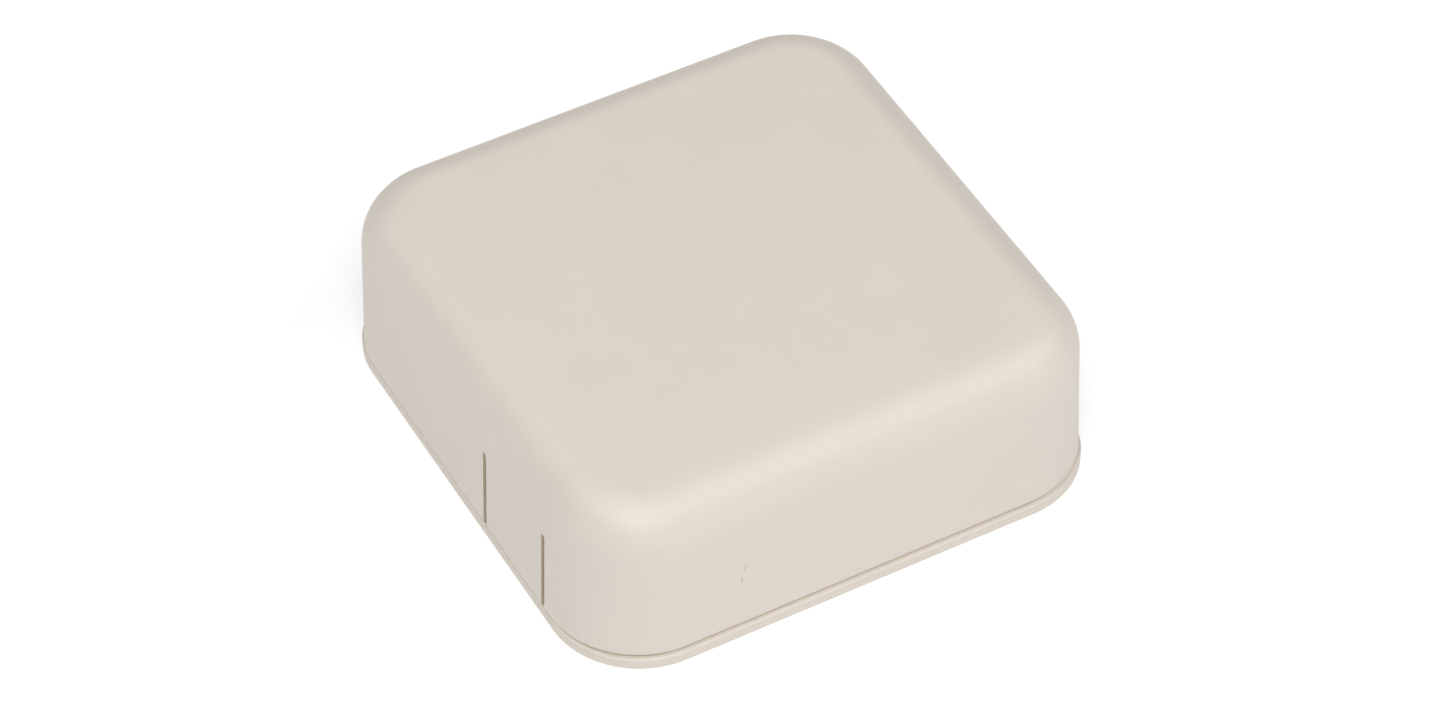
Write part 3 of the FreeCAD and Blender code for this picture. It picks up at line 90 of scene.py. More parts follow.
# Studio: round lamps on a dome, as direction (degrees from +X, degrees up) and watts.
LAMP_SIZE = 1.0
LAMP_DISTANCE = 1.6
LAMPS = ((-90, 45, 2.4), (-30, 45, 10.4), (0, 45, 2.4), (30, 45, 2.2), (60, 45, 6.3), (90, 45, 0.8),
         (150, 45, 1.8), (-150, 45, 2.5), (-150, 15, 2.2), (-90, 70, 2.9), (-30, 70, 4.5))
SKY_STRENGTH = 0.07
FLOOR_HALF = 6.0
FLOOR_DROP = 0.05 * MM
FLOOR_GLOW = 0.45

# Linear colours.
BEIGE = (0.653, 0.594, 0.528)
SLIT_PAINTED_SHADE = (0.58, 0.485, 0.385)
GAP_PAINTED_LIGHT = (0.74, 0.665, 0.552)
HAIR_BROWN = (0.30, 0.24, 0.20)
MASK_GREEN = (0.012, 0.085, 0.042)
TRACE_GREEN = (0.024, 0.150, 0.070)
EPOXY = (0.022, 0.022, 0.024)
TIN = (0.66, 0.66, 0.65)
SOLDER = (0.60, 0.60, 0.61)
GOLD = (0.83, 0.60, 0.24)
INK = (0.78, 0.78, 0.75)


# ---------------------------------------------------------------- camera and lamps


def make_camera():
    """The camera, at the photograph's viewing angle."""
    azimuth, elevation = CAMERA_AZIMUTH, CAMERA_ELEVATION
    back = Vector((math.sin(azimuth) * math.cos(elevation), -math.cos(azimuth) * math.cos(elevation),
                   math.sin(elevation)))
    level = Vector((math.cos(azimuth), math.sin(azimuth), 0))
    rise = back.cross(level)
    right = math.cos(CAMERA_ROLL) * level + math.sin(CAMERA_ROLL) * rise
    up = math.cos(CAMERA_ROLL) * rise - math.sin(CAMERA_ROLL) * level
    place = (right * CAMERA_ASIDE + up * CAMERA_RAISED + back * CAMERA_DISTANCE) * SIDE
    turn = Matrix((right, up, back)).transposed().to_4x4()
    data = bpy.data.cameras.new("camera")
    data.lens = LENS_MM
    data.sensor_width = SENSOR_MM
    data.clip_start = 0.01
    data.clip_end = 20
    camera = bpy.data.objects.new("camera", data)
    camera.matrix_world = Matrix.Translation(place) @ turn
    bpy.context.scene.collection.objects.link(camera)
    bpy.context.scene.camera = camera


def make_lamps():
    """Soft round lamps on a dome round the object, and an even pale sky."""
    for number, (azimuth, elevation, power) in enumerate(LAMPS):
        data = bpy.data.lights.new("lamp_%d" % number, "AREA")
        data.shape = "DISK"
        data.size = LAMP_SIZE
        data.energy = power
        lamp = bpy.data.objects.new("lamp_%d" % number, data)
        across, rise = math.radians(azimuth), math.radians(elevation)
        way = Vector((math.cos(across) * math.cos(rise), math.sin(across) * math.cos(rise), math.sin(rise)))
        lamp.location = way * LAMP_DISTANCE
        lamp.rotation_euler = way.to_track_quat("Z", "Y").to_euler()
        bpy.context.scene.collection.objects.link(lamp)
    world = bpy.data.worlds.new("studio")
    bpy.context.scene.world = world
    world.use_nodes = True
    sky = world.node_tree.nodes["Background"]
    sky.inputs["Color"].default_value = (1, 1, 1, 1)
    sky.inputs["Strength"].default_value = SKY_STRENGTH
    bpy.context.scene.view_settings.view_transform = "Standard"


# ---------------------------------------------------------------- materials


class Look:
    """A procedural material: its shader, and short calls that add nodes to it. Lengths are in metres."""

    def __init__(self, name, colour, roughness, metallic=0.0):
        self.normal = None
        self.material = bpy.data.materials.new(name)
        self.material.use_nodes = True
        self.tree = self.material.node_tree
        self.shader = self.tree.nodes["Principled BSDF"]
        self.place = self.tree.nodes.new("ShaderNodeTexCoord").outputs["Object"]
        self.set("Base Color", colour)
        self.set("Roughness", roughness)
        self.set("Metallic", metallic)

    def set(self, socket, value):
        """Sets or feeds one of the shader's sockets."""
        self.join(value, self.shader.inputs[socket])

    def join(self, value, socket):
        """Feeds a socket from another, or sets it to a number or a colour."""
        if isinstance(value, bpy.types.NodeSocket):
            self.tree.links.new(value, socket)
        elif isinstance(value, tuple) and socket.type == "RGBA":
            socket.default_value = (*value, 1)
        else:
            socket.default_value = value

    def maths(self, operation, first, second=0.0):
        """One step of arithmetic."""
        made = self.tree.nodes.new("ShaderNodeMath")
        made.operation = operation
        self.join(first, made.inputs[0])
        self.join(second, made.inputs[1])
        return made.outputs[0]

    def axis(self, letter):
        """One of the object's coordinates."""
        made = self.tree.nodes.new("ShaderNodeSeparateXYZ")
        self.join(self.place, made.inputs[0])
        return made.outputs[letter]

    def squeezed(self, x=1.0, y=1.0, z=1.0):
        """The object's coordinates, scaled along each axis."""
        made = self.tree.nodes.new("ShaderNodeMapping")
        self.join(self.place, made.inputs["Vector"])
        made.inputs["Scale"].default_value = (x, y, z)
        return made.outputs["Vector"]

    def reach(self, x, y):
        """The distance from an axis, given the two offsets from it."""
        squares = [self.maths("MULTIPLY", offset, offset) for offset in (x, y)]
        return self.maths("SQRT", self.maths("ADD", *squares))

    def tone(self):
        """Whatever feeds the base colour so far."""
        return self.shader.inputs["Base Color"].links[0].from_socket

    def noise(self, size, detail=2.0, vector=None):
        """Cloudy noise with lumps of the given size."""
        made = self.tree.nodes.new("ShaderNodeTexNoise")
        self.join(vector or self.place, made.inputs["Vector"])
        made.inputs["Scale"].default_value = 1 / size
        made.inputs["Detail"].default_value = detail
        return made.outputs["Fac"]

    def cells(self, size):
        """The distance to the nearest point of a cell pattern with cells of the given size."""
        made = self.tree.nodes.new("ShaderNodeTexVoronoi")
        self.join(self.place, made.inputs["Vector"])
        made.inputs["Scale"].default_value = 1 / size
        return made.outputs["Distance"]

    def spread(self, value, low, high, to_low=0.0, to_high=1.0):
        """Maps low..high onto to_low..to_high and stops at both ends."""
        made = self.tree.nodes.new("ShaderNodeMapRange")
        self.join(value, made.inputs["Value"])
        for name, number in (("From Min", low), ("From Max", high), ("To Min", to_low), ("To Max", to_high)):
            made.inputs[name].default_value = number
        return made.outputs["Result"]

    def mix(self, share, first, second):
        """A mix of two colours."""
        made = self.tree.nodes.new("ShaderNodeMix")
        made.data_type = "RGBA"
        self.join(share, made.inputs["Factor"])
        for socket, value in (("A", first), ("B", second)):
            self.join(value, next(i for i in made.inputs if i.name == socket and i.type == "RGBA"))
        return next(o for o in made.outputs if o.type == "RGBA")

    def near(self, value, middle, half, soft):
        """1 where a value is within half of its middle, fading to 0 over soft."""
        gap = self.maths("ABSOLUTE", self.maths("SUBTRACT", value, middle))
        return self.spread(gap, half, half + soft, 1.0, 0.0)

    def both(self, *masks):
        """Where all of the masks are on."""
        result = masks[0]
        for mask in masks[1:]:
            result = self.maths("MULTIPLY", result, mask)
        return result

    def either(self, *masks):
        """Where any of the masks is on."""
        result = masks[0]
        for mask in masks[1:]:
            result = self.maths("MAXIMUM", result, mask)
        return result

    def rounded(self, radius):
        """Softens the light on sharp edges, and returns a mask of those edges."""
        bevel = self.tree.nodes.new("ShaderNodeBevel")
        bevel.samples = 4
        bevel.inputs["Radius"].default_value = radius
        facing = self.tree.nodes.new("ShaderNodeVectorMath")
        facing.operation = "DOT_PRODUCT"
        self.join(bevel.outputs[0], facing.inputs[0])
        self.join(self.tree.nodes.new("ShaderNodeNewGeometry").outputs["Normal"], facing.inputs[1])
        self.normal = bevel.outputs[0]
        return self.spread(facing.outputs["Value"], 0.99, 0.85)

    def bump(self, height, distance, strength=1.0):
        """Adds relief of the given depth on top of any relief before it."""
        made = self.tree.nodes.new("ShaderNodeBump")
        made.inputs["Strength"].default_value = strength
        made.inputs["Distance"].default_value = distance
        self.join(height, made.inputs["Height"])
        if self.normal:
            self.join(self.normal, made.inputs["Normal"])
        self.normal = made.outputs["Normal"]
        self.set("Normal", self.normal)


def shade(colour, factor):
    """A colour made lighter or darker."""
    return tuple(min(1.0, channel * factor) for channel in colour)


def moulded(name, colour, roughness):
    """Moulded plastic with a spark-eroded grain, faint flow mottling and slightly polished edges."""
    grain, mottle = 0.35 * MM, 0.012
    look = Look(name, colour, roughness)
    edges = look.rounded(0.12 * MM)
    flow = look.spread(look.noise(22 * MM, 3.0), 0.3, 0.7)
    speck = look.spread(look.noise(grain * 1.6, 2.0), 0.3, 0.7)
    tone = look.mix(flow, shade(colour, 1 - mottle), shade(colour, 1 + mottle))
    tone = look.mix(look.maths("MULTIPLY", speck, 0.35), tone, shade(colour, 1 - 2 * mottle))
    look.set("Base Color", tone)
    rough = look.spread(look.noise(6 * MM, 3.0), 0.3, 0.7, roughness - 0.035, roughness + 0.035)
    look.set("Roughness", look.maths("SUBTRACT", rough, look.maths("MULTIPLY", edges, 0.08)))
    look.bump(look.noise(grain, 3.0), 0.008 * MM)
    return look


def cover_look():
    """The cover's plastic: faint scuffs, a short hairline mark on its +X wall, and painted shade in the
    slits, whose side walls are darker and warmer.
    """
    look = moulded("cover_moulding", BEIGE, 0.44)
    tone = look.tone()
    x, y, z = (look.axis(letter) for letter in "XYZ")

    # The hairline leans and curves: y is a parabola of the height above its middle.
    mark_y, mark_z, mark_half = -26.6 * MM, 16.8 * MM, 1.9 * MM
    lean, curve, width = 0.26, 70.0, 0.08 * MM
    run = look.maths("SUBTRACT", z, mark_z)
    bend = look.maths("MULTIPLY", look.maths("MULTIPLY", run, run), curve)
    line = look.maths("SUBTRACT", y, look.maths("ADD", look.maths("MULTIPLY", run, lean), bend))
    broken = look.spread(look.noise(1.3 * MM, 1.0), 0.40, 0.54)
    hair = look.both(look.near(line, mark_y, width, 0.12 * MM), look.near(z, mark_z, mark_half, 0.4 * MM),
                     look.spread(x, 50 * MM, 51 * MM), broken)

    scuffs = look.spread(look.noise(0.9 * MM, 1.0, look.squeezed(x=0.22)), 0.74, 0.80)
    patches = look.spread(look.noise(30 * MM, 1.0), 0.52, 0.62)
    scuff = look.maths("MULTIPLY", look.both(scuffs, patches), 0.25)
    tone = look.mix(scuff, tone, shade(BEIGE, 0.93))
    tone = look.mix(look.maths("MULTIPLY", hair, 0.85), tone, HAIR_BROWN)

    tongue_low, tongue_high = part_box("release_tongue")
    # Painted shade in the slits: their side walls, below the slits' tops, take a darker and warmer colour
    # than the wall's face.
    slits = look.either(*[look.near(x, middle, SLIT / 2 + 0.03 * MM, 0.02 * MM)
                          for middle in (tongue_low.x - SLIT / 2, tongue_high.x + SLIT / 2)])
    inside = look.both(slits, look.spread(y, -WALL_FACE, -WALL_FACE - 0.2 * MM),
                       look.spread(z, SLIT_TOP + 0.2 * MM, SLIT_TOP))
    look.set("Base Color", look.mix(inside, tone, SLIT_PAINTED_SHADE))
    look.bump(look.either(hair, scuff), 0.01 * MM, 0.6)
    return look.material


def base_look():
    """The base plate's plastic: painted light on the ledge and neck in the shadow gap under the cover's edge,
    and the marks of ejector pins.
    """
    look = moulded("base_moulding", shade(BEIGE, 0.985), 0.5)
    pitch, mark_radius = 30 * MM, 2.0 * MM
    offsets = []
    for letter in "XY":
        wrapped = look.maths("PINGPONG", look.maths("ADD", look.axis(letter), 4 * pitch), pitch / 2)
        offsets.append(look.maths("SUBTRACT", wrapped, pitch / 4))
    ejector = look.near(look.reach(*offsets), mark_radius, 0.1 * MM, 0.1 * MM)

    # Outside a square inset by the corner radius, the distance to it follows the cover's outline.
    past = [look.maths("MAXIMUM", look.maths("SUBTRACT", look.maths("ABSOLUTE", look.axis(letter)),
                                             COVER_HIGH.x - CORNER_RADIUS), 0.0) for letter in "XY"]
    # Painted light: a lighter, warmer band on the ledge and neck under the cover's edge, inside the shadow
    # gap.
    ledge_half = 0.6 * MM
    gap_painted_light_mask = look.both(look.near(look.reach(*past), CORNER_RADIUS - ledge_half, ledge_half, 0.05 * MM),
                      look.near(look.axis("Z"), LIP_TOP + 0.25 * MM, 0.3 * MM, 0.05 * MM))
    look.set("Base Color", look.mix(gap_painted_light_mask, look.tone(), GAP_PAINTED_LIGHT))
    look.bump(ejector, 0.03 * MM)
    return look.material


def label_look():
    """Satin printed film: a ruled frame and blank fields, with no lettering."""
    low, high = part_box("rating_label")
    paper, rule = (0.80, 0.80, 0.79), (0.16, 0.17, 0.18)
    inset, line, soft, row_pitch = 1.6 * MM, 0.12 * MM, 0.03 * MM, 4 * MM
    look = Look("label_print", paper, 0.42)
    x, y = look.maths("SUBTRACT", look.axis("X"), (low.x + high.x) / 2), look.axis("Y")
    half_x, half_y = (high.x - low.x) / 2 - inset, (high.y - low.y) / 2 - inset
    across, along = look.maths("ABSOLUTE", x), look.maths("ABSOLUTE", y)
    inside = look.both(look.near(x, 0.0, half_x, soft), look.near(y, 0.0, half_y, soft))
    border = look.both(inside, look.either(look.near(across, half_x, line, soft),
                                           look.near(along, half_y, line, soft)))
    rows = look.near(look.maths("PINGPONG", look.maths("ADD", y, 15 * row_pitch), row_pitch / 2), 0.0,
                     line / 2, soft)
    split_x, field_x, field_half_x, field_half_y = 6 * MM, 13 * MM, 4.5 * MM, 6 * MM
    split = look.near(x, split_x, line, soft)
    ruled = look.spread(x, split_x, split_x + 0.01 * MM, 1.0, 0.0)
    print_mask = look.either(border, look.both(inside, look.either(split, look.both(rows, ruled))))
    field = look.both(look.near(x, field_x, field_half_x, soft), look.near(y, 0.0, field_half_y, soft))
    tint = look.mix(look.noise(8 * MM), shade(paper, 0.97), shade(paper, 1.02))
    tint = look.mix(field, tint, (0.52, 0.54, 0.56))
    look.set("Base Color", look.mix(print_mask, tint, rule))
    look.set("Roughness", look.spread(look.noise(3 * MM, 3.0), 0.3, 0.7, 0.36, 0.48))
    look.bump(look.noise(0.5 * MM, 3.0), 0.004 * MM)
    return look.material


def laminate(name, colour):
    """Glass-epoxy board under solder mask: woven fibre under the gloss, bare brown edges."""
    look = Look(name, colour, 0.3)
    edges = look.rounded(0.08 * MM)
    pitch = 0.55 * MM
    threads = [look.maths("SINE", look.maths("MULTIPLY", look.axis(letter), 2 * math.pi / pitch))
               for letter in "XYZ"]
    total = look.maths("ADD", threads[0], look.maths("ADD", threads[1], threads[2]))
    weave = look.maths("MULTIPLY", total, 0.33)
    cloud = look.spread(look.noise(14 * MM, 3.0), 0.3, 0.7)
    tone = look.mix(cloud, shade(colour, 0.85), shade(colour, 1.15))
    tone = look.mix(look.spread(weave, -1.0, 1.0, 0.0, 0.22), tone, shade(colour, 1.7))
    look.set("Base Color", look.mix(look.maths("MULTIPLY", edges, 0.5), tone, (0.23, 0.21, 0.10)))
    look.set("Roughness", look.spread(look.noise(2 * MM, 3.0), 0.3, 0.7, 0.24, 0.36))
    look.bump(weave, 0.004 * MM, 0.5)
    look.bump(look.noise(1.2 * MM, 2.0), 0.01 * MM, 0.5)
    return look


def metal(name, colour, roughness, along=None, relief=0.003 * MM):
    """Sheet or plated metal: drawn lines along one axis, soft tarnish and brighter edges."""
    look = Look(name, colour, roughness, 1.0)
    edges = look.rounded(0.1 * MM)
    drawn = {along: 0.04} if along else {}
    lines = look.noise(0.22 * MM, 3.0, look.squeezed(**drawn))
    stain = look.spread(look.noise(5 * MM, 4.0), 0.35, 0.7)
    tone = look.mix(stain, colour, shade(colour, 0.92))
    look.set("Base Color", look.mix(look.maths("MULTIPLY", edges, 0.5), tone, shade(colour, 1.15)))
    rough = look.maths("ADD", look.spread(lines, 0.3, 0.7, roughness - 0.06, roughness + 0.06),
                       look.maths("MULTIPLY", stain, 0.08))
    look.set("Roughness", rough)
    look.bump(lines, relief)
    return look


def epoxy(name, colour=EPOXY, roughness=0.55):
    """Black moulding compound with its fine sparkle."""
    look = Look(name, colour, roughness)
    edges = look.rounded(0.12 * MM)
    grain = look.noise(0.14 * MM, 3.0)
    tone = look.mix(look.spread(grain, 0.45, 0.75), colour, shade(colour, 1.9))
    look.set("Base Color", look.mix(look.maths("MULTIPLY", edges, 0.45), tone, shade(colour, 3.2)))
    look.set("Roughness", look.spread(look.noise(2 * MM, 3.0), 0.3, 0.7, roughness - 0.06, roughness + 0.06))
    look.bump(grain, 0.008 * MM)
    return look


def plate_over(look, mask, colour, roughness=0.28):
    """Turns the masked part of a material into plated metal."""
    tone = look.tone()
    rough = look.shader.inputs["Roughness"].links[0].from_socket
    stain = look.spread(look.noise(0.6 * MM, 3.0), 0.3, 0.7)
    metal_tone = look.mix(stain, shade(colour, 0.9), shade(colour, 1.05))
    look.set("Base Color", look.mix(mask, tone, metal_tone))
    look.set("Metallic", mask)
    blended = look.maths("ADD", look.maths("MULTIPLY", rough, look.maths("SUBTRACT", 1.0, mask)),
                         look.maths("MULTIPLY", mask, roughness))
    look.set("Roughness", blended)
    return look.material


def leaded_look(node):
    """A moulded chip with tinned leads that stand out on both X sides."""
    low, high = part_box(node)
    lead_out = 1.0 * MM
    look = epoxy("%s_body" % node)
    half = (high.x - low.x) / 2 - lead_out
    gap = look.maths("ABSOLUTE", look.maths("SUBTRACT", look.axis("X"), (low.x + high.x) / 2))
    return plate_over(look, look.spread(gap, half, half + 0.02 * MM), TIN)


def can_look(node):
    """Drawn aluminium cans in a row along Y: scored tops with painted shade in the score lines, and a dark
    mark for the negative lead.
    """
    cans = lumps(node)
    low, high = cans[0]
    radius, top = (high.y - low.y) / 2, high.z
    pitch = cans[1][0].y - low.y
    look = metal("%s_can" % node, (0.60, 0.61, 0.63), 0.3, "z")
    x = look.maths("SUBTRACT", look.axis("X"), (low.x + high.x) / 2)
    shifted = look.maths("ADD", look.maths("SUBTRACT", look.axis("Y"), (low.y + high.y) / 2), pitch * 8.5)
    y = look.maths("SUBTRACT", look.maths("MODULO", shifted, pitch), pitch / 2)
    score_half, score_soft = 0.07 * MM, 0.08 * MM
    flat = look.both(look.spread(look.axis("Z"), top - 0.1 * MM, top - 0.05 * MM),
                     look.spread(look.reach(x, y), radius * 0.80, radius * 0.81, 1.0, 0.0))
    score_and_painted_shade = look.both(flat, look.either(look.near(x, 0.0, score_half, score_soft),
                                        look.near(y, 0.0, score_half, score_soft)))
    mark = look.both(look.spread(look.axis("Z"), top - 0.3 * MM, top - 0.2 * MM),
                     look.spread(x, radius * 0.42, radius * 0.43))
    tone = look.mix(mark, look.tone(), (0.02, 0.02, 0.022))
    # Painted shade: the score lines are darkened in colour as well as cut in relief.
    look.set("Base Color", look.mix(look.maths("MULTIPLY", score_and_painted_shade, 0.4), tone, (0.2, 0.2, 0.2)))
    look.set("Metallic", look.maths("SUBTRACT", 1.0, mark))
    look.bump(look.maths("SUBTRACT", 1.0, score_and_painted_shade), 0.12 * MM)
    return look.material


def processor_look():
    """The processor's dark carrier with its nickel-plated lid."""
    carrier_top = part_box("main_processor")[0].z + 0.75 * MM
    look = epoxy("processor_body", (0.015, 0.05, 0.03), 0.4)
    lid = look.spread(look.axis("Z"), carrier_top, carrier_top + 0.05 * MM)
    return plate_over(look, lid, (0.62, 0.62, 0.60), 0.32)


def passive_look():
    """Small ceramic chips with tinned ends."""
    look = epoxy("chip_ceramic_body", (0.20, 0.145, 0.105), 0.45)
    pick = look.spread(look.noise(4.7 * MM, 0.0), 0.49, 0.51)
    look.set("Base Color", look.mix(pick, look.tone(), (0.025, 0.025, 0.028)))
    body_half, ends = 0.52 * MM, None
    for row in sorted({round((low.y + high.y) / 2, 5) for low, high in lumps("chip_passives")}):
        gap = look.maths("ABSOLUTE", look.maths("SUBTRACT", look.axis("Y"), row))
        ends = look.maths("MINIMUM", ends, gap) if ends else gap
    return plate_over(look, look.spread(ends, body_half, body_half + 0.02 * MM), TIN)


def header_look():
    """The service header: a black strip with gold-plated pins."""
    strip_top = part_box("service_header")[0].z + 2.56 * MM
    look = epoxy("header_body", (0.02, 0.02, 0.02), 0.42)
    return plate_over(look, look.spread(look.axis("Z"), strip_top, strip_top + 0.04 * MM), GOLD, 0.25)


def ferrite_look(name):
    """Sintered ferrite: dark grey, finely pitted."""
    look = epoxy(name, (0.045, 0.044, 0.045), 0.5)
    pits = look.spread(look.cells(0.35 * MM), 0.0, 0.35)
    look.bump(look.maths("MULTIPLY", pits, look.noise(0.6 * MM)), 0.02 * MM)
    return look.material


def winding_look():
    """Amber tape in overlapping turns on the winding, and the bobbin's dark phenolic foot and cheeks."""
    low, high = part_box("transformer_bobbin")
    look = Look("bobbin_and_tape", (0.55, 0.36, 0.05), 0.35)
    look.rounded(0.15 * MM)
    lift = look.axis("Z")
    wavy = look.maths("ADD", lift, look.maths("MULTIPLY", look.noise(3 * MM), 0.5 * MM))
    turns = look.maths("PINGPONG", wavy, 0.9 * MM)
    seam = look.spread(turns, 0.0, 0.08 * MM, 1.0, 0.0)
    tape = look.mix(look.noise(1.5 * MM, 3.0), (0.50, 0.31, 0.035), (0.66, 0.45, 0.08))
    tape = look.mix(look.maths("MULTIPLY", seam, 0.6), tape, (0.30, 0.17, 0.02))
    cheek, foot_top = 1.02 * MM, low.z + 1.52 * MM
    middle = look.near(look.axis("Y"), (low.y + high.y) / 2, (high.y - low.y) / 2 - cheek, 0.01 * MM)
    winding = look.both(middle, look.spread(lift, foot_top, foot_top + 0.04 * MM))
    look.set("Base Color", look.mix(winding, (0.03, 0.028, 0.026), tape))
    look.set("Roughness", look.spread(look.noise(1 * MM, 3.0), 0.3, 0.7, 0.3, 0.48))
    look.bump(turns, 0.05 * MM, 0.6)
    return look.material


def soft_sheet(name, colour):
    """Soft filled silicone sheet."""
    look = Look(name, colour, 0.7)
    look.rounded(0.15 * MM)
    fill = look.noise(0.3 * MM, 4.0)
    look.set("Base Color", look.mix(fill, shade(colour, 0.85), shade(colour, 1.12)))
    look.set("Roughness", look.spread(look.noise(1.5 * MM), 0.3, 0.7, 0.62, 0.8))
    look.bump(fill, 0.02 * MM)
    return look.material


def jacket_look():
    """Thin coaxial jacket: satin dark fluoropolymer with slight ripples."""
    look = Look("coax_jacket", (0.04, 0.04, 0.045), 0.35)
    ripple = look.noise(0.5 * MM, 3.0)
    look.set("Base Color", look.mix(ripple, (0.03, 0.03, 0.034), (0.07, 0.07, 0.075)))
    look.set("Roughness", look.spread(look.noise(1.5 * MM), 0.3, 0.7, 0.28, 0.42))
    look.bump(ripple, 0.02 * MM)
    return look.material


def lamp_look():
    """The lamp's white cup with its yellow phosphor well."""
    low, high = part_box("status_lamp")
    well_radius = 1.0 * MM
    look = Look("lamp_cup", (0.84, 0.83, 0.78), 0.35)
    look.rounded(0.1 * MM)
    x = look.maths("SUBTRACT", look.axis("X"), (low.x + high.x) / 2)
    y = look.maths("SUBTRACT", look.axis("Y"), (low.y + high.y) / 2)
    well = look.both(look.spread(look.reach(x, y), well_radius, well_radius + 0.05 * MM, 1.0, 0.0),
                     look.spread(look.axis("Z"), high.z - 0.05 * MM, high.z - 0.02 * MM))
    plain = look.mix(look.noise(0.8 * MM), (0.80, 0.79, 0.74), (0.87, 0.86, 0.81))
    look.set("Base Color", look.mix(well, plain, (0.80, 0.62, 0.12)))
    look.bump(look.maths("SUBTRACT", look.noise(0.2 * MM), well), 0.03 * MM)
    return look.material


def legend_look():
    """White printed ink, slightly uneven."""
    look = Look("legend_ink", INK, 0.6)
    look.set("Base Color", look.mix(look.noise(0.5 * MM, 3.0), shade(INK, 0.9), shade(INK, 1.05)))
    look.bump(look.noise(0.2 * MM), 0.004 * MM)
    return look.material


def acrylic_look():
    """Clear moulded light guide with a faintly rippled skin."""
    look = Look("clear_guide", (0.94, 0.96, 0.97), 0.06)
    look.set("Transmission Weight", 1.0)
    look.set("IOR", 1.49)
    look.set("Roughness", look.spread(look.noise(0.9 * MM, 3.0), 0.3, 0.7, 0.03, 0.12))
    look.set("Base Color", look.mix(look.noise(3 * MM), (0.92, 0.95, 0.96), (0.96, 0.98, 0.98)))
    look.bump(look.noise(1.1 * MM, 2.0), 0.012 * MM)
    return look.material


def floor_look():
    """The studio's matte paper, which glows a little so that it stays white under the object."""
    look = Look("studio_paper", (0.60, 0.60, 0.60), 1.0)
    look.set("Specular IOR Level", 0.0)
    look.set("Emission Color", (1.0, 1.0, 1.0))
    look.set("Emission Strength", FLOOR_GLOW)
    look.set("Base Color", look.mix(look.noise(4 * MM, 3.0), (0.595, 0.595, 0.595), (0.605, 0.605, 0.605)))
    return look.material


# ---------------------------------------------------------------- mesh helpers


def lumps(node):
    """The lowest and highest corners of each separate solid in a CAD node."""
    mesh = NODES[node].data
    steps = 1e6  # in a metre: corners that round to the same step are one corner
    parent = {}

    def find(key):
        while parent[key] != key:
            parent[key] = parent[parent[key]]
            key = parent[key]
        return key

    keys = [tuple(round(value * steps) for value in vertex.co) for vertex in mesh.vertices]
    for key in keys:
        parent[key] = key
    for edge in mesh.edges:
        first, second = find(keys[edge.vertices[0]]), find(keys[edge.vertices[1]])
        parent[first] = second
    groups = {}
    for key in sorted(parent):
        groups.setdefault(find(key), []).append(key)
    boxes = []
    for members in groups.values():
        low = Vector([min(key[axis] for key in members) / steps for axis in range(3)])
        high = Vector([max(key[axis] for key in members) / steps for axis in range(3)])
        boxes.append((low, high))
    return sorted(boxes, key=lambda box: tuple(box[0]))


def add_piece(name, built, look, body, smooth=False):
    """Turns a bmesh into a piece that rides on a body and takes its finish from a slot."""
    bmesh.ops.recalc_face_normals(built, faces=built.faces)
    mesh = bpy.data.meshes.new(name)
    for face in built.faces:
        face.smooth = smooth
    built.to_mesh(mesh)
    built.free()
    mesh.materials.append(look)
    piece = bpy.data.objects.new(name, mesh)
    bpy.context.scene.collection.objects.link(piece)
    if body:
        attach(piece, body)
    return piece


def skin(built, rows, ring=False):
    """Faces between rows of vertices that go once round; the end rows are capped, or joined in a ring."""
    if not ring:
        built.faces.new(rows[0])
        built.faces.new(rows[-1])
    for near, far in zip(rows, rows[1:] + rows[:1] if ring else rows[1:]):
        for here in range(len(near)):
            after = (here + 1) % len(near)
            built.faces.new((near[here], near[after], far[after], far[here]))


def sheet_of(built, outline, low, high, turn=None):
    """A closed flat solid on a polygon of (x, y), from level low to high, both in metres."""
    turn = turn or Matrix.Identity(4)
    skin(built, [[built.verts.new(turn @ Vector((x, y, level))) for x, y in outline]
                 for level in (low, high)])


def ring_solid(built, inner, outer, low, high):
    """A closed band between two outlines with the same number of points."""
    skin(built, [[built.verts.new((x, y, level)) for x, y in outline]
                 for outline, level in ((inner, low), (outer, low), (outer, high), (inner, high))], ring=True)


def turned(built, profile, place, turn=None, count=16):
    """A closed solid turned round an axis through place; profile is (radius, height) from foot to top."""
    turn = turn or Matrix.Identity(3)
    skin(built, [[built.verts.new(Vector(place) + turn @ Vector((x, y, height)))
                  for x, y in circle(0, 0, radius, count)] for radius, height in profile])


def circle(x, y, radius, count):
    """Points on a circle."""
    angles = [2 * math.pi * step / count for step in range(count)]
    return [(x + radius * math.cos(angle), y + radius * math.sin(angle)) for angle in angles]


def annulus(built, x, y, inner, outer, low, high, count):
    """A flat ring."""
    ring_solid(built, circle(x, y, inner, count), circle(x, y, outer, count), low, high)


def disc(built, x, y, radius, low, high, count):
    """A flat round plate."""
    turned(built, [(radius, low), (radius, high)], (x, y, 0), count=count)


def rectangle(x0, y0, x1, y1):
    """The corners of a rectangle."""
    return [(x0, y0), (x1, y0), (x1, y1), (x0, y1)]


def offset_line(points, shift):
    """The points of a line moved sideways by shift, with mitred corners that are cut short where sharp."""
    moved, least = [], 0.3
    for here, point in enumerate(points):
        before = Vector(point) - Vector(points[here - 1]) if here else None
        after = Vector(points[here + 1]) - Vector(point) if here + 1 < len(points) else None
        first = (before or after).normalized()
        second = (after or before).normalized()
        side = (Vector((-first.y, first.x)) + Vector((-second.y, second.x))).normalized()
        stretch = 1 / max(least, side.dot(Vector((-first.y, first.x))))
        moved.append(tuple(Vector(point) + side * shift * stretch))
    return moved


def trace(built, points, width, low, high, turn=None):
    """A raised flat line of the given width along the points."""
    left = offset_line(points, width / 2)
    right = offset_line(points, -width / 2)
    sheet_of(built, left + right[::-1], low, high, turn)


# ---------------------------------------------------------------- pieces


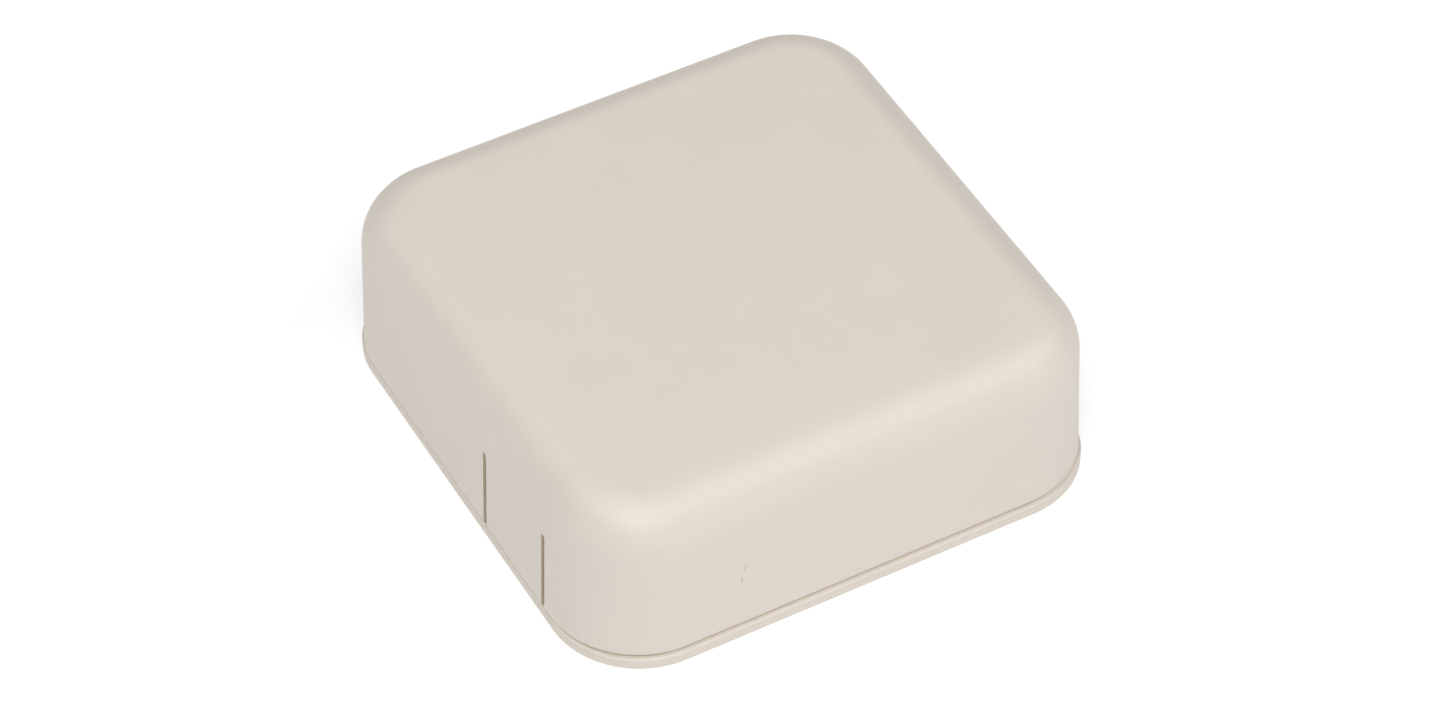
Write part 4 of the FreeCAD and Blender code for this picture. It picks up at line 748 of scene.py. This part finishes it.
def make_floor():
    """The sheet of paper that the object lies on."""
    built = bmesh.new()
    outline = rectangle(-FLOOR_HALF, -FLOOR_HALF, FLOOR_HALF, FLOOR_HALF)
    built.faces.new([built.verts.new((x, y, -FLOOR_DROP)) for x, y in outline])
    add_piece("studio_floor", built, floor_look(), None)


def make_tongue(look):
    """The release tongue: a copy of its wall sliced into bands near its root, with the CAD tongue hidden."""
    low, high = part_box("release_tongue")
    built = bmesh.new()
    built.from_mesh(NODES["release_tongue"].data)
    bmesh.ops.remove_doubles(built, verts=built.verts, dist=1e-6)
    bmesh.ops.dissolve_limit(built, angle_limit=0.001, verts=built.verts, edges=built.edges)
    for number in range(1, TONGUE_SLICES):
        level = high.z - TONGUE_BEND * number / TONGUE_SLICES
        parts = built.verts[:] + built.edges[:] + built.faces[:]
        bmesh.ops.bisect_plane(built, geom=parts, plane_co=(0, 0, level), plane_no=(0, 0, 1))
    tongue = add_piece("tongue_wall", built, look, None)
    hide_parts("release_tongue")
    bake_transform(tongue)


# Copper routes on the board, in millimetres: points, number of lines, pitch and width.
ROUTES = [
    ([(14.0, 12.0), (17.0, 12.0), (18.6, 13.6)], 8, 0.45, 0.2),
    ([(-10.0, 12.0), (-14.5, 12.0), (-18.6, 16.1)], 8, 0.45, 0.2),
    ([(-4.5, 19.0), (-4.5, 22.5)], 14, 0.5, 0.18),
    ([(8.5, 19.0), (8.5, 22.5)], 14, 0.5, 0.18),
    ([(-11.0, 6.5), (-20.6, 6.5)], 4, 1.27, 0.2),
    ([(12.0, -14.6), (12.0, -12.9), (7.8, -8.7), (7.8, -7.0)], 8, 0.5, 0.2),
    ([(-13.0, -1.0), (-17.0, -1.0), (-20.8, -2.0)], 2, 0.5, 0.2),
    ([(-27.4, 4.6), (-30.6, 2.4)], 2, 0.6, 0.2),
    ([(1.8, -33.6), (1.8, -32.2), (16.0, -32.2), (17.3, -30.9), (17.3, -12.0), (13.0, -7.7)], 4, 0.38, 0.16),
    ([(17.0, -3.0), (20.0, -3.0)], 3, 1.4, 0.9),
    ([(25.0, -9.4), (25.0, -6.4)], 3, 2.2, 1.6),
    ([(31.0, -18.5), (36.0, -14.5)], 2, 3.0, 2.0),
    ([(29.6, -2.0), (33.5, -2.0)], 2, 3.0, 2.0),
    ([(25.5, -20.4), (25.5, -17.6)], 3, 2.4, 1.5),
    ([(16.4, -22.0), (18.8, -22.0)], 4, 1.8, 0.5),
    ([(-38.0, 9.0), (-38.0, 12.0)], 5, 1.1, 0.2),
    ([(-42.0, -6.0), (-42.0, 0.0), (-44.0, 2.0)], 3, 0.6, 0.2),
    ([(10.0, -35.5), (13.8, -35.5)], 2, 0.9, 0.3),
]
# Routes that the two radio halves share, mirrored in X.
RADIO_ROUTES = [
    ([(33.0, 30.8), (33.0, 33.0)], 1, 1.0, 0.35),
    ([(37.0, 13.2), (37.0, 10.6), (40.6, 7.0), (41.8, 7.0)], 1, 1.0, 0.35),
]


def make_traces(look):
    """The main board's copper routes, raised under its solder mask."""
    built = bmesh.new()
    mirrored = [([(-x, y) for x, y in points], *rest) for points, *rest in RADIO_ROUTES]
    for points, count, pitch, width in ROUTES + RADIO_ROUTES + mirrored:
        route = [(x * MM, y * MM) for x, y in points]
        for number in range(count):
            line = offset_line(route, pitch * MM * (number - (count - 1) / 2))
            trace(built, line, width * MM, FOOT, COPPER_TOP)
    add_piece("board_traces", built, look, "base")


def board_obstacles():
    """The boxes of everything that stands on the main board."""
    around = ("main_board", "base_plate", "top_cover", "release_tongue", "rating_label")
    scattered = ("chip_passives", "board_screws")
    boxes = [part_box(name) for name in NODES if name not in around + scattered]
    boxes = [(low, high) for low, high in boxes if low.z < BOARD_TOP + 2 * MM and high.z > BOARD_TOP]
    return boxes + [box for name in scattered for box in lumps(name)]


def is_free(obstacles, x, y, margin):
    """Whether a place on the board is clear of the cable well and of every obstacle."""
    if x < WELL_X + margin and y < WELL_Y + margin:
        return False
    return not any(low.x - margin < x < high.x + margin and low.y - margin < y < high.y + margin
                   for low, high in obstacles)


def make_vias(look, obstacles):
    """Vias along the board's edges, then loose ones wherever there is room."""
    random.seed(7)
    inset, edge_count, total, most_tries = 1.2 * MM, 24, 330, 4000
    reach_x, reach_y = BOARD_HIGH.x - inset, BOARD_HIGH.y - inset
    vias = []
    for number in range(edge_count):
        share = (number + 0.5) / edge_count * 2 - 1
        for x, y in ((share * reach_x, reach_y), (share * reach_x, -reach_y),
                     (reach_x, share * reach_y), (-reach_x, share * reach_y)):
            if is_free(obstacles, x, y, 0.8 * MM):
                vias.append((x, y))
    tries = 0
    while len(vias) < total and tries < most_tries:
        tries += 1
        x, y = round(random.uniform(-reach_x, reach_x), 4), round(random.uniform(-reach_y, reach_y), 4)
        apart = all(abs(x - other_x) + abs(y - other_y) > 1.1 * MM for other_x, other_y in vias)
        if apart and is_free(obstacles, x, y, 0.6 * MM):
            vias.append((x, y))
    built = bmesh.new()
    for x, y in vias:
        annulus(built, x, y, 0.14 * MM, 0.32 * MM, FOOT, VIA_TOP, 10)
    add_piece("board_vias", built, look, "base")


def make_solder(look):
    """Tinned rings round the board's screws, and the solder joints of the chips and passives."""
    built = bmesh.new()
    lead_lap = 0.7 * MM
    for low, high in lumps("board_screws"):
        annulus(built, (low.x + high.x) / 2, (low.y + high.y) / 2, 1.7 * MM, 3.3 * MM, FOOT, PAD_TOP, 32)
    # Node, leads on each of its two sides, and their pitch in millimetres.
    leaded = (("network_magnetics", 8, 1.8), ("bridge_rectifier", 2, 5.1), ("flash_chip", 4, 1.27))
    for node, leads, pitch in leaded:
        low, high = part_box(node)
        middle = (low.y + high.y) / 2
        for x, way in ((low.x, -1), (high.x, 1)):
            for lead in range(leads):
                y = middle + pitch * MM * (lead - (leads - 1) / 2)
                solder_foot(built, x - way * lead_lap, y, way)
    for low, high in lumps("chip_passives"):
        for y, way in ((low.y, -1), (high.y, 1)):
            solder_end(built, (low.x + high.x) / 2, y, way, (high.x - low.x) / 2)
    add_piece("solder_joints", built, look, "base")


def solder_foot(built, x, y, way):
    """A solder wedge under and beyond a chip's lead."""
    length, half, tall = 1.3 * MM, 0.42 * MM, 0.15 * MM
    outline = [(x + way * out, level) for out, level in (
        (0.0, FOOT), (length, FOOT), (length, BOARD_TOP + 0.05 * MM), (length * 0.55, BOARD_TOP + tall),
        (0.0, BOARD_TOP + tall))]
    skin(built, [[built.verts.new((px, py, pz)) for px, pz in outline] for py in (y - half, y + half)])


def solder_end(built, x, y, way, half):
    """The concave solder fillet at one end of a chip resistor."""
    reach, tall, lap = 0.42 * MM, 0.42 * MM, 0.1 * MM
    outline = [(y + way * out, level) for out, level in (
        (-lap, FOOT), (reach, FOOT), (reach, PAD_TOP), (reach * 0.45, BOARD_TOP + tall * 0.28),
        (reach * 0.12, BOARD_TOP + tall * 0.7), (0.0, BOARD_TOP + tall), (-lap, BOARD_TOP + tall))]
    skin(built, [[built.verts.new((px, py, pz)) for py, pz in outline] for px in (x - half, x + half)])


def make_test_pads(look, obstacles):
    """Round gold pads: three marks for placing parts, and a double row of test points near a corner."""
    built = bmesh.new()
    for x, y in ((-45.0, 26.5), (45.5, -24.0), (-12.0, -35.8)):
        disc(built, x * MM, y * MM, 0.5 * MM, FOOT, PAD_TOP, 20)
    for number in range(9):
        x, y = (-46.0 + 1.9 * number) * MM, 36.2 * MM - (number % 2) * 1.8 * MM
        if is_free(obstacles, x, y, 0.4 * MM):
            disc(built, x, y, 0.55 * MM, FOOT, PAD_TOP, 16)
    add_piece("test_pads", built, look, "base")


def make_legend(look):
    """White component outlines and polarity marks, without lettering."""
    built = bmesh.new()
    width, play, memory_play = 0.15 * MM, 0.45 * MM, 0.3 * MM
    outlined = ("network_magnetics", "transformer_bobbin", "power_inductor", "bridge_rectifier", "flash_chip",
                "crystal", "service_header", "reset_switch", "status_lamp", "jack_shell")
    for low, high in [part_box(node) for node in outlined]:
        legend_frame(built, low, high, play, play, width)
        disc(built, low.x - 1.1 * MM, high.y + 0.2 * MM, 0.3 * MM, FOOT, INK_TOP, 12)
    for low, high in lumps("memory_chips"):
        legend_frame(built, low, high, memory_play, play, width)
    for low, high in lumps("bulk_capacitors") + lumps("filter_capacitors"):
        x, y, radius = (low.x + high.x) / 2, (low.y + high.y) / 2, (high.x - low.x) / 2 + 0.35 * MM
        plus_x, arm = low.x - 1.3 * MM, 0.5 * MM
        trace(built, [(plus_x, y - arm), (plus_x, y + arm)], width, FOOT, INK_TOP)
        trace(built, [(plus_x - arm, y), (plus_x + arm, y)], width, FOOT, INK_TOP)
        annulus(built, x, y, radius, radius + width, FOOT, INK_TOP, 40)
    add_piece("board_legend", built, look, "base")


def legend_frame(built, low, high, play_x, play_y, width):
    """A printed line round a part's box."""
    inner, outer = [rectangle(low.x - play_x - grow, low.y - play_y - grow, high.x + play_x + grow,
                              high.y + play_y + grow) for grow in (0.0, width)]
    ring_solid(built, inner, outer, FOOT, INK_TOP)


def make_capacitor_feet(look):
    """The black moulded plates that the capacitors stand on, two corners cut off."""
    for node in ("bulk_capacitors", "filter_capacitors"):
        built = bmesh.new()
        for low, high in lumps(node):
            x, y, half = (low.x + high.x) / 2, (low.y + high.y) / 2, (high.x - low.x) / 2 + 0.12 * MM
            cut = half - half * 0.42
            outline = [(-half, -half), (cut, -half), (half, -cut), (half, cut), (cut, half), (-half, half)]
            sheet_of(built, [(x + px, y + py) for px, py in outline], BOARD_TOP, BOARD_TOP + 0.9 * MM)
        bmesh.ops.bevel(built, geom=built.edges[:], offset=0.12 * MM, segments=2, affect="EDGES")
        add_piece("%s_feet" % node, built, look, "base")


def make_chip_marks(look):
    """The moulded first-pin dimples on the chips."""
    built = bmesh.new()
    leaded = [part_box(name) for name in ("network_magnetics", "bridge_rectifier", "flash_chip")]
    dimple = [(0.42 * MM, -0.05 * MM), (0.42 * MM, 0.012 * MM), (0.3 * MM, 0.006 * MM)]
    for low, high in leaded + lumps("memory_chips"):
        turned(built, dimple, (low.x + 1.9 * MM, high.y - 1.1 * MM, high.z), count=20)
    add_piece("chip_marks", built, look, "base")


# Copper on an upright aerial board, in millimetres from the lead and the board's foot: points, width.
AERIAL_ARMS = [
    ([(-11.5, 9.6), (-0.4, 9.6)], 2.4),
    ([(0.4, 9.6), (7.5, 9.6)], 2.4),
    ([(-11.2, 10.4), (-11.2, 13.2), (-4.0, 13.2)], 1.0),
    ([(-0.9, 9.2), (-0.9, 7.2)], 0.9),
    ([(0.9, 9.2), (0.9, 7.2)], 0.9),
    ([(-6.0, 2.2), (-6.0, 5.4), (-4.2, 5.4), (-4.2, 2.2), (-2.4, 2.2), (-2.4, 5.4)], 0.5),
    ([(2.4, 2.2), (2.4, 5.4), (4.2, 5.4), (4.2, 2.2), (6.0, 2.2), (6.0, 5.4)], 0.5),
    ([(-16.0, 1.4), (-6.0, 1.4)], 1.0),
]


def make_aerial_patterns(copper, solder):
    """Printed copper on the upright aerial boards, and the solder blobs of their leads."""
    facing = Matrix.Rotation(math.radians(90), 3, "X")
    blob = [(1.25 * MM, -0.02 * MM), (1.15 * MM, 0.2 * MM), (0.85 * MM, 0.5 * MM), (0.6 * MM, 0.95 * MM)]
    edge = 0.8 * MM
    for name, way in (("right", 1), ("left", -1)):
        low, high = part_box("aerial_board_%s" % name)
        feed_x = way * 25 * MM
        upright = Matrix(((1, 0, 0, 0), (0, 0, -1, low.y), (0, 1, 0, 0), (0, 0, 0, 1)))
        built = bmesh.new()
        for points, width in AERIAL_ARMS:
            line = [(min(max(feed_x + way * x * MM, low.x + edge), high.x - edge), low.z + z * MM)
                    for x, z in points]
            trace(built, line, width * MM, -0.005 * MM, 0.03 * MM, upright)
        add_piece("aerial_copper_%s" % name, built, copper, "base")

        lead_low, lead_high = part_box("coax_lead_%s" % name)
        built = bmesh.new()
        turned(built, blob, (feed_x, low.y, (lead_low.z + lead_high.z) / 2), facing, 20)
        add_piece("lead_solder_%s" % name, built, solder, "base", smooth=True)


def make_jack_springs(look):
    """The earthing springs punched out of the jack's shell, and the folded tabs at its foot."""
    low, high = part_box("jack_shell")
    built = bmesh.new()
    start_x, middle, lift = low.x + 1.2 * MM, (low.y + high.y) / 2, (low.z + high.z) / 2 + 1 * MM
    for shift in (-4 * MM, 4 * MM):
        spring(built, Vector((start_x, middle + shift, high.z)), Vector((0, 0, 1)), Vector((0, 1, 0)))
    for y, way in ((low.y, -1), (high.y, 1)):
        spring(built, Vector((start_x, y, lift)), Vector((0, way, 0)), Vector((0, 0, 1)))
    tab_half, tab_out = 0.8 * MM, 1.1 * MM
    for y0, y1 in ((low.y - tab_out, low.y), (high.y, high.y + tab_out)):
        for x in (low.x + 8 * MM, low.x + 15 * MM):
            sheet_of(built, rectangle(x - tab_half, y0, x + tab_half, y1), BOARD_TOP, BOARD_TOP + 0.3 * MM)
    add_piece("jack_springs", built, look, "base")


def spring(built, base, out, side):
    """One bowed strip that starts at base and runs along +X, bulging towards out and as wide as side says."""
    steps, length, bow, thick, half = 8, 6 * MM, 0.55 * MM, 0.24 * MM, 0.9 * MM
    rows = []
    for step in range(steps + 1):
        share = step / steps
        centre = base + Vector((share * length, 0, 0)) + out * math.sin(share * math.pi) * bow
        rows.append([built.verts.new(centre + out * level * thick / 2 + side * across * half)
                     for across, level in rectangle(-1, -1, 1, 1)])
    skin(built, rows)


def make_shield_clips(look):
    """The clips that hold the shield cans on the board, three to a wall."""
    built = bmesh.new()
    half, thick, tall = 1.5 * MM, 0.35 * MM, 1.1 * MM
    for name in ("right", "left"):
        low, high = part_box("shield_can_%s" % name)
        for share in (0.15, 0.5, 0.85):
            x, y = low.x + (high.x - low.x) * share, low.y + (high.y - low.y) * share
            for outline in (rectangle(x - half, low.y - thick, x + half, low.y),
                            rectangle(x - half, high.y, x + half, high.y + thick),
                            rectangle(low.x - thick, y - half, low.x, y + half),
                            rectangle(high.x, y - half, high.x + thick, y + half)):
                sheet_of(built, outline, BOARD_TOP, BOARD_TOP + tall)
    bmesh.ops.bevel(built, geom=built.edges[:], offset=0.06 * MM, segments=2, affect="EDGES")
    add_piece("shield_clips", built, look, "base")


# ---------------------------------------------------------------- the whole scene


make_camera()
make_lamps()
make_floor()

cover_plastic = cover_look()
aerial_mask = laminate("aerial_mask", (0.020, 0.075, 0.045)).material
chip_black = epoxy("chip_body").material
tin = metal("tin_plate", TIN, 0.28).material
can_plate = metal("can_plate", TIN, 0.3, "x").material
gold = metal("gold_plate_finish", GOLD, 0.25).material
solder = metal("solder_finish", SOLDER, 0.24, relief=0.01 * MM).material
jacket = jacket_look()
LOOKS = {
    "top_cover": cover_plastic,
    "release_tongue": cover_plastic,
    "base_plate": base_look(),
    "rating_label": label_look(),
    "main_board": laminate("board_mask", MASK_GREEN).material,
    "aerial_board_right": aerial_mask,
    "aerial_board_left": aerial_mask,
    "board_screws": metal("zinc_screws", (0.58, 0.58, 0.57), 0.3).material,
    "main_processor": processor_look(),
    "thermal_tape": soft_sheet("tape_body", (0.36, 0.38, 0.40)),
    "thermal_pad": soft_sheet("pad_body", (0.30, 0.42, 0.55)),
    "heat_sink": metal("sink_anodised", (0.56, 0.57, 0.59), 0.38, "y", 0.006 * MM).material,
    "heat_spreader": metal("spreader_rolled", (0.66, 0.66, 0.67), 0.34, "x", 0.006 * MM).material,
    "jack_shell": metal("jack_plate", (0.66, 0.66, 0.66), 0.26, "x").material,
    "jack_insert": moulded("jack_moulding", (0.018, 0.018, 0.020), 0.38).material,
    "jack_contacts": gold,
    "network_magnetics": leaded_look("network_magnetics"),
    "transformer_core": ferrite_look("core_ferrite"),
    "transformer_bobbin": winding_look(),
    "bulk_capacitors": can_look("bulk_capacitors"),
    "filter_capacitors": can_look("filter_capacitors"),
    "power_inductor": ferrite_look("inductor_ferrite"),
    "bridge_rectifier": leaded_look("bridge_rectifier"),
    "flash_chip": leaded_look("flash_chip"),
    "memory_chips": chip_black,
    "radio_chip_right": chip_black,
    "radio_chip_left": chip_black,
    "crystal": metal("crystal_plate", (0.64, 0.63, 0.59), 0.3).material,
    "chip_passives": passive_look(),
    "service_header": header_look(),
    "shield_can_right": can_plate,
    "shield_can_left": can_plate,
    "stamped_aerial_right": tin,
    "stamped_aerial_left": tin,
    "coax_plug_right": gold,
    "coax_plug_left": gold,
    "coax_lead_right": jacket,
    "coax_lead_left": jacket,
    "status_lamp": lamp_look(),
    "light_pipe": acrylic_look(),
    "reset_switch": moulded("switch_moulding", (0.03, 0.03, 0.033), 0.4).material,
    "reset_plunger": moulded("button_moulding", (0.62, 0.20, 0.04), 0.42).material,
}
for name, look in LOOKS.items():
    NODES[name].material_slots[0].material = look

obstacles = board_obstacles()
make_tongue(cover_plastic)
make_traces(laminate("trace_mask", TRACE_GREEN).material)
make_vias(solder, obstacles)
make_solder(solder)
make_test_pads(gold, obstacles)
make_legend(legend_look())
make_capacitor_feet(moulded("foot_moulding", (0.02, 0.02, 0.022), 0.45).material)
make_chip_marks(epoxy("mark_body", (0.012, 0.012, 0.013), 0.35).material)
make_aerial_patterns(metal("aerial_copper", (0.72, 0.55, 0.26), 0.32).material, solder)
make_jack_springs(tin)
make_shield_clips(tin)
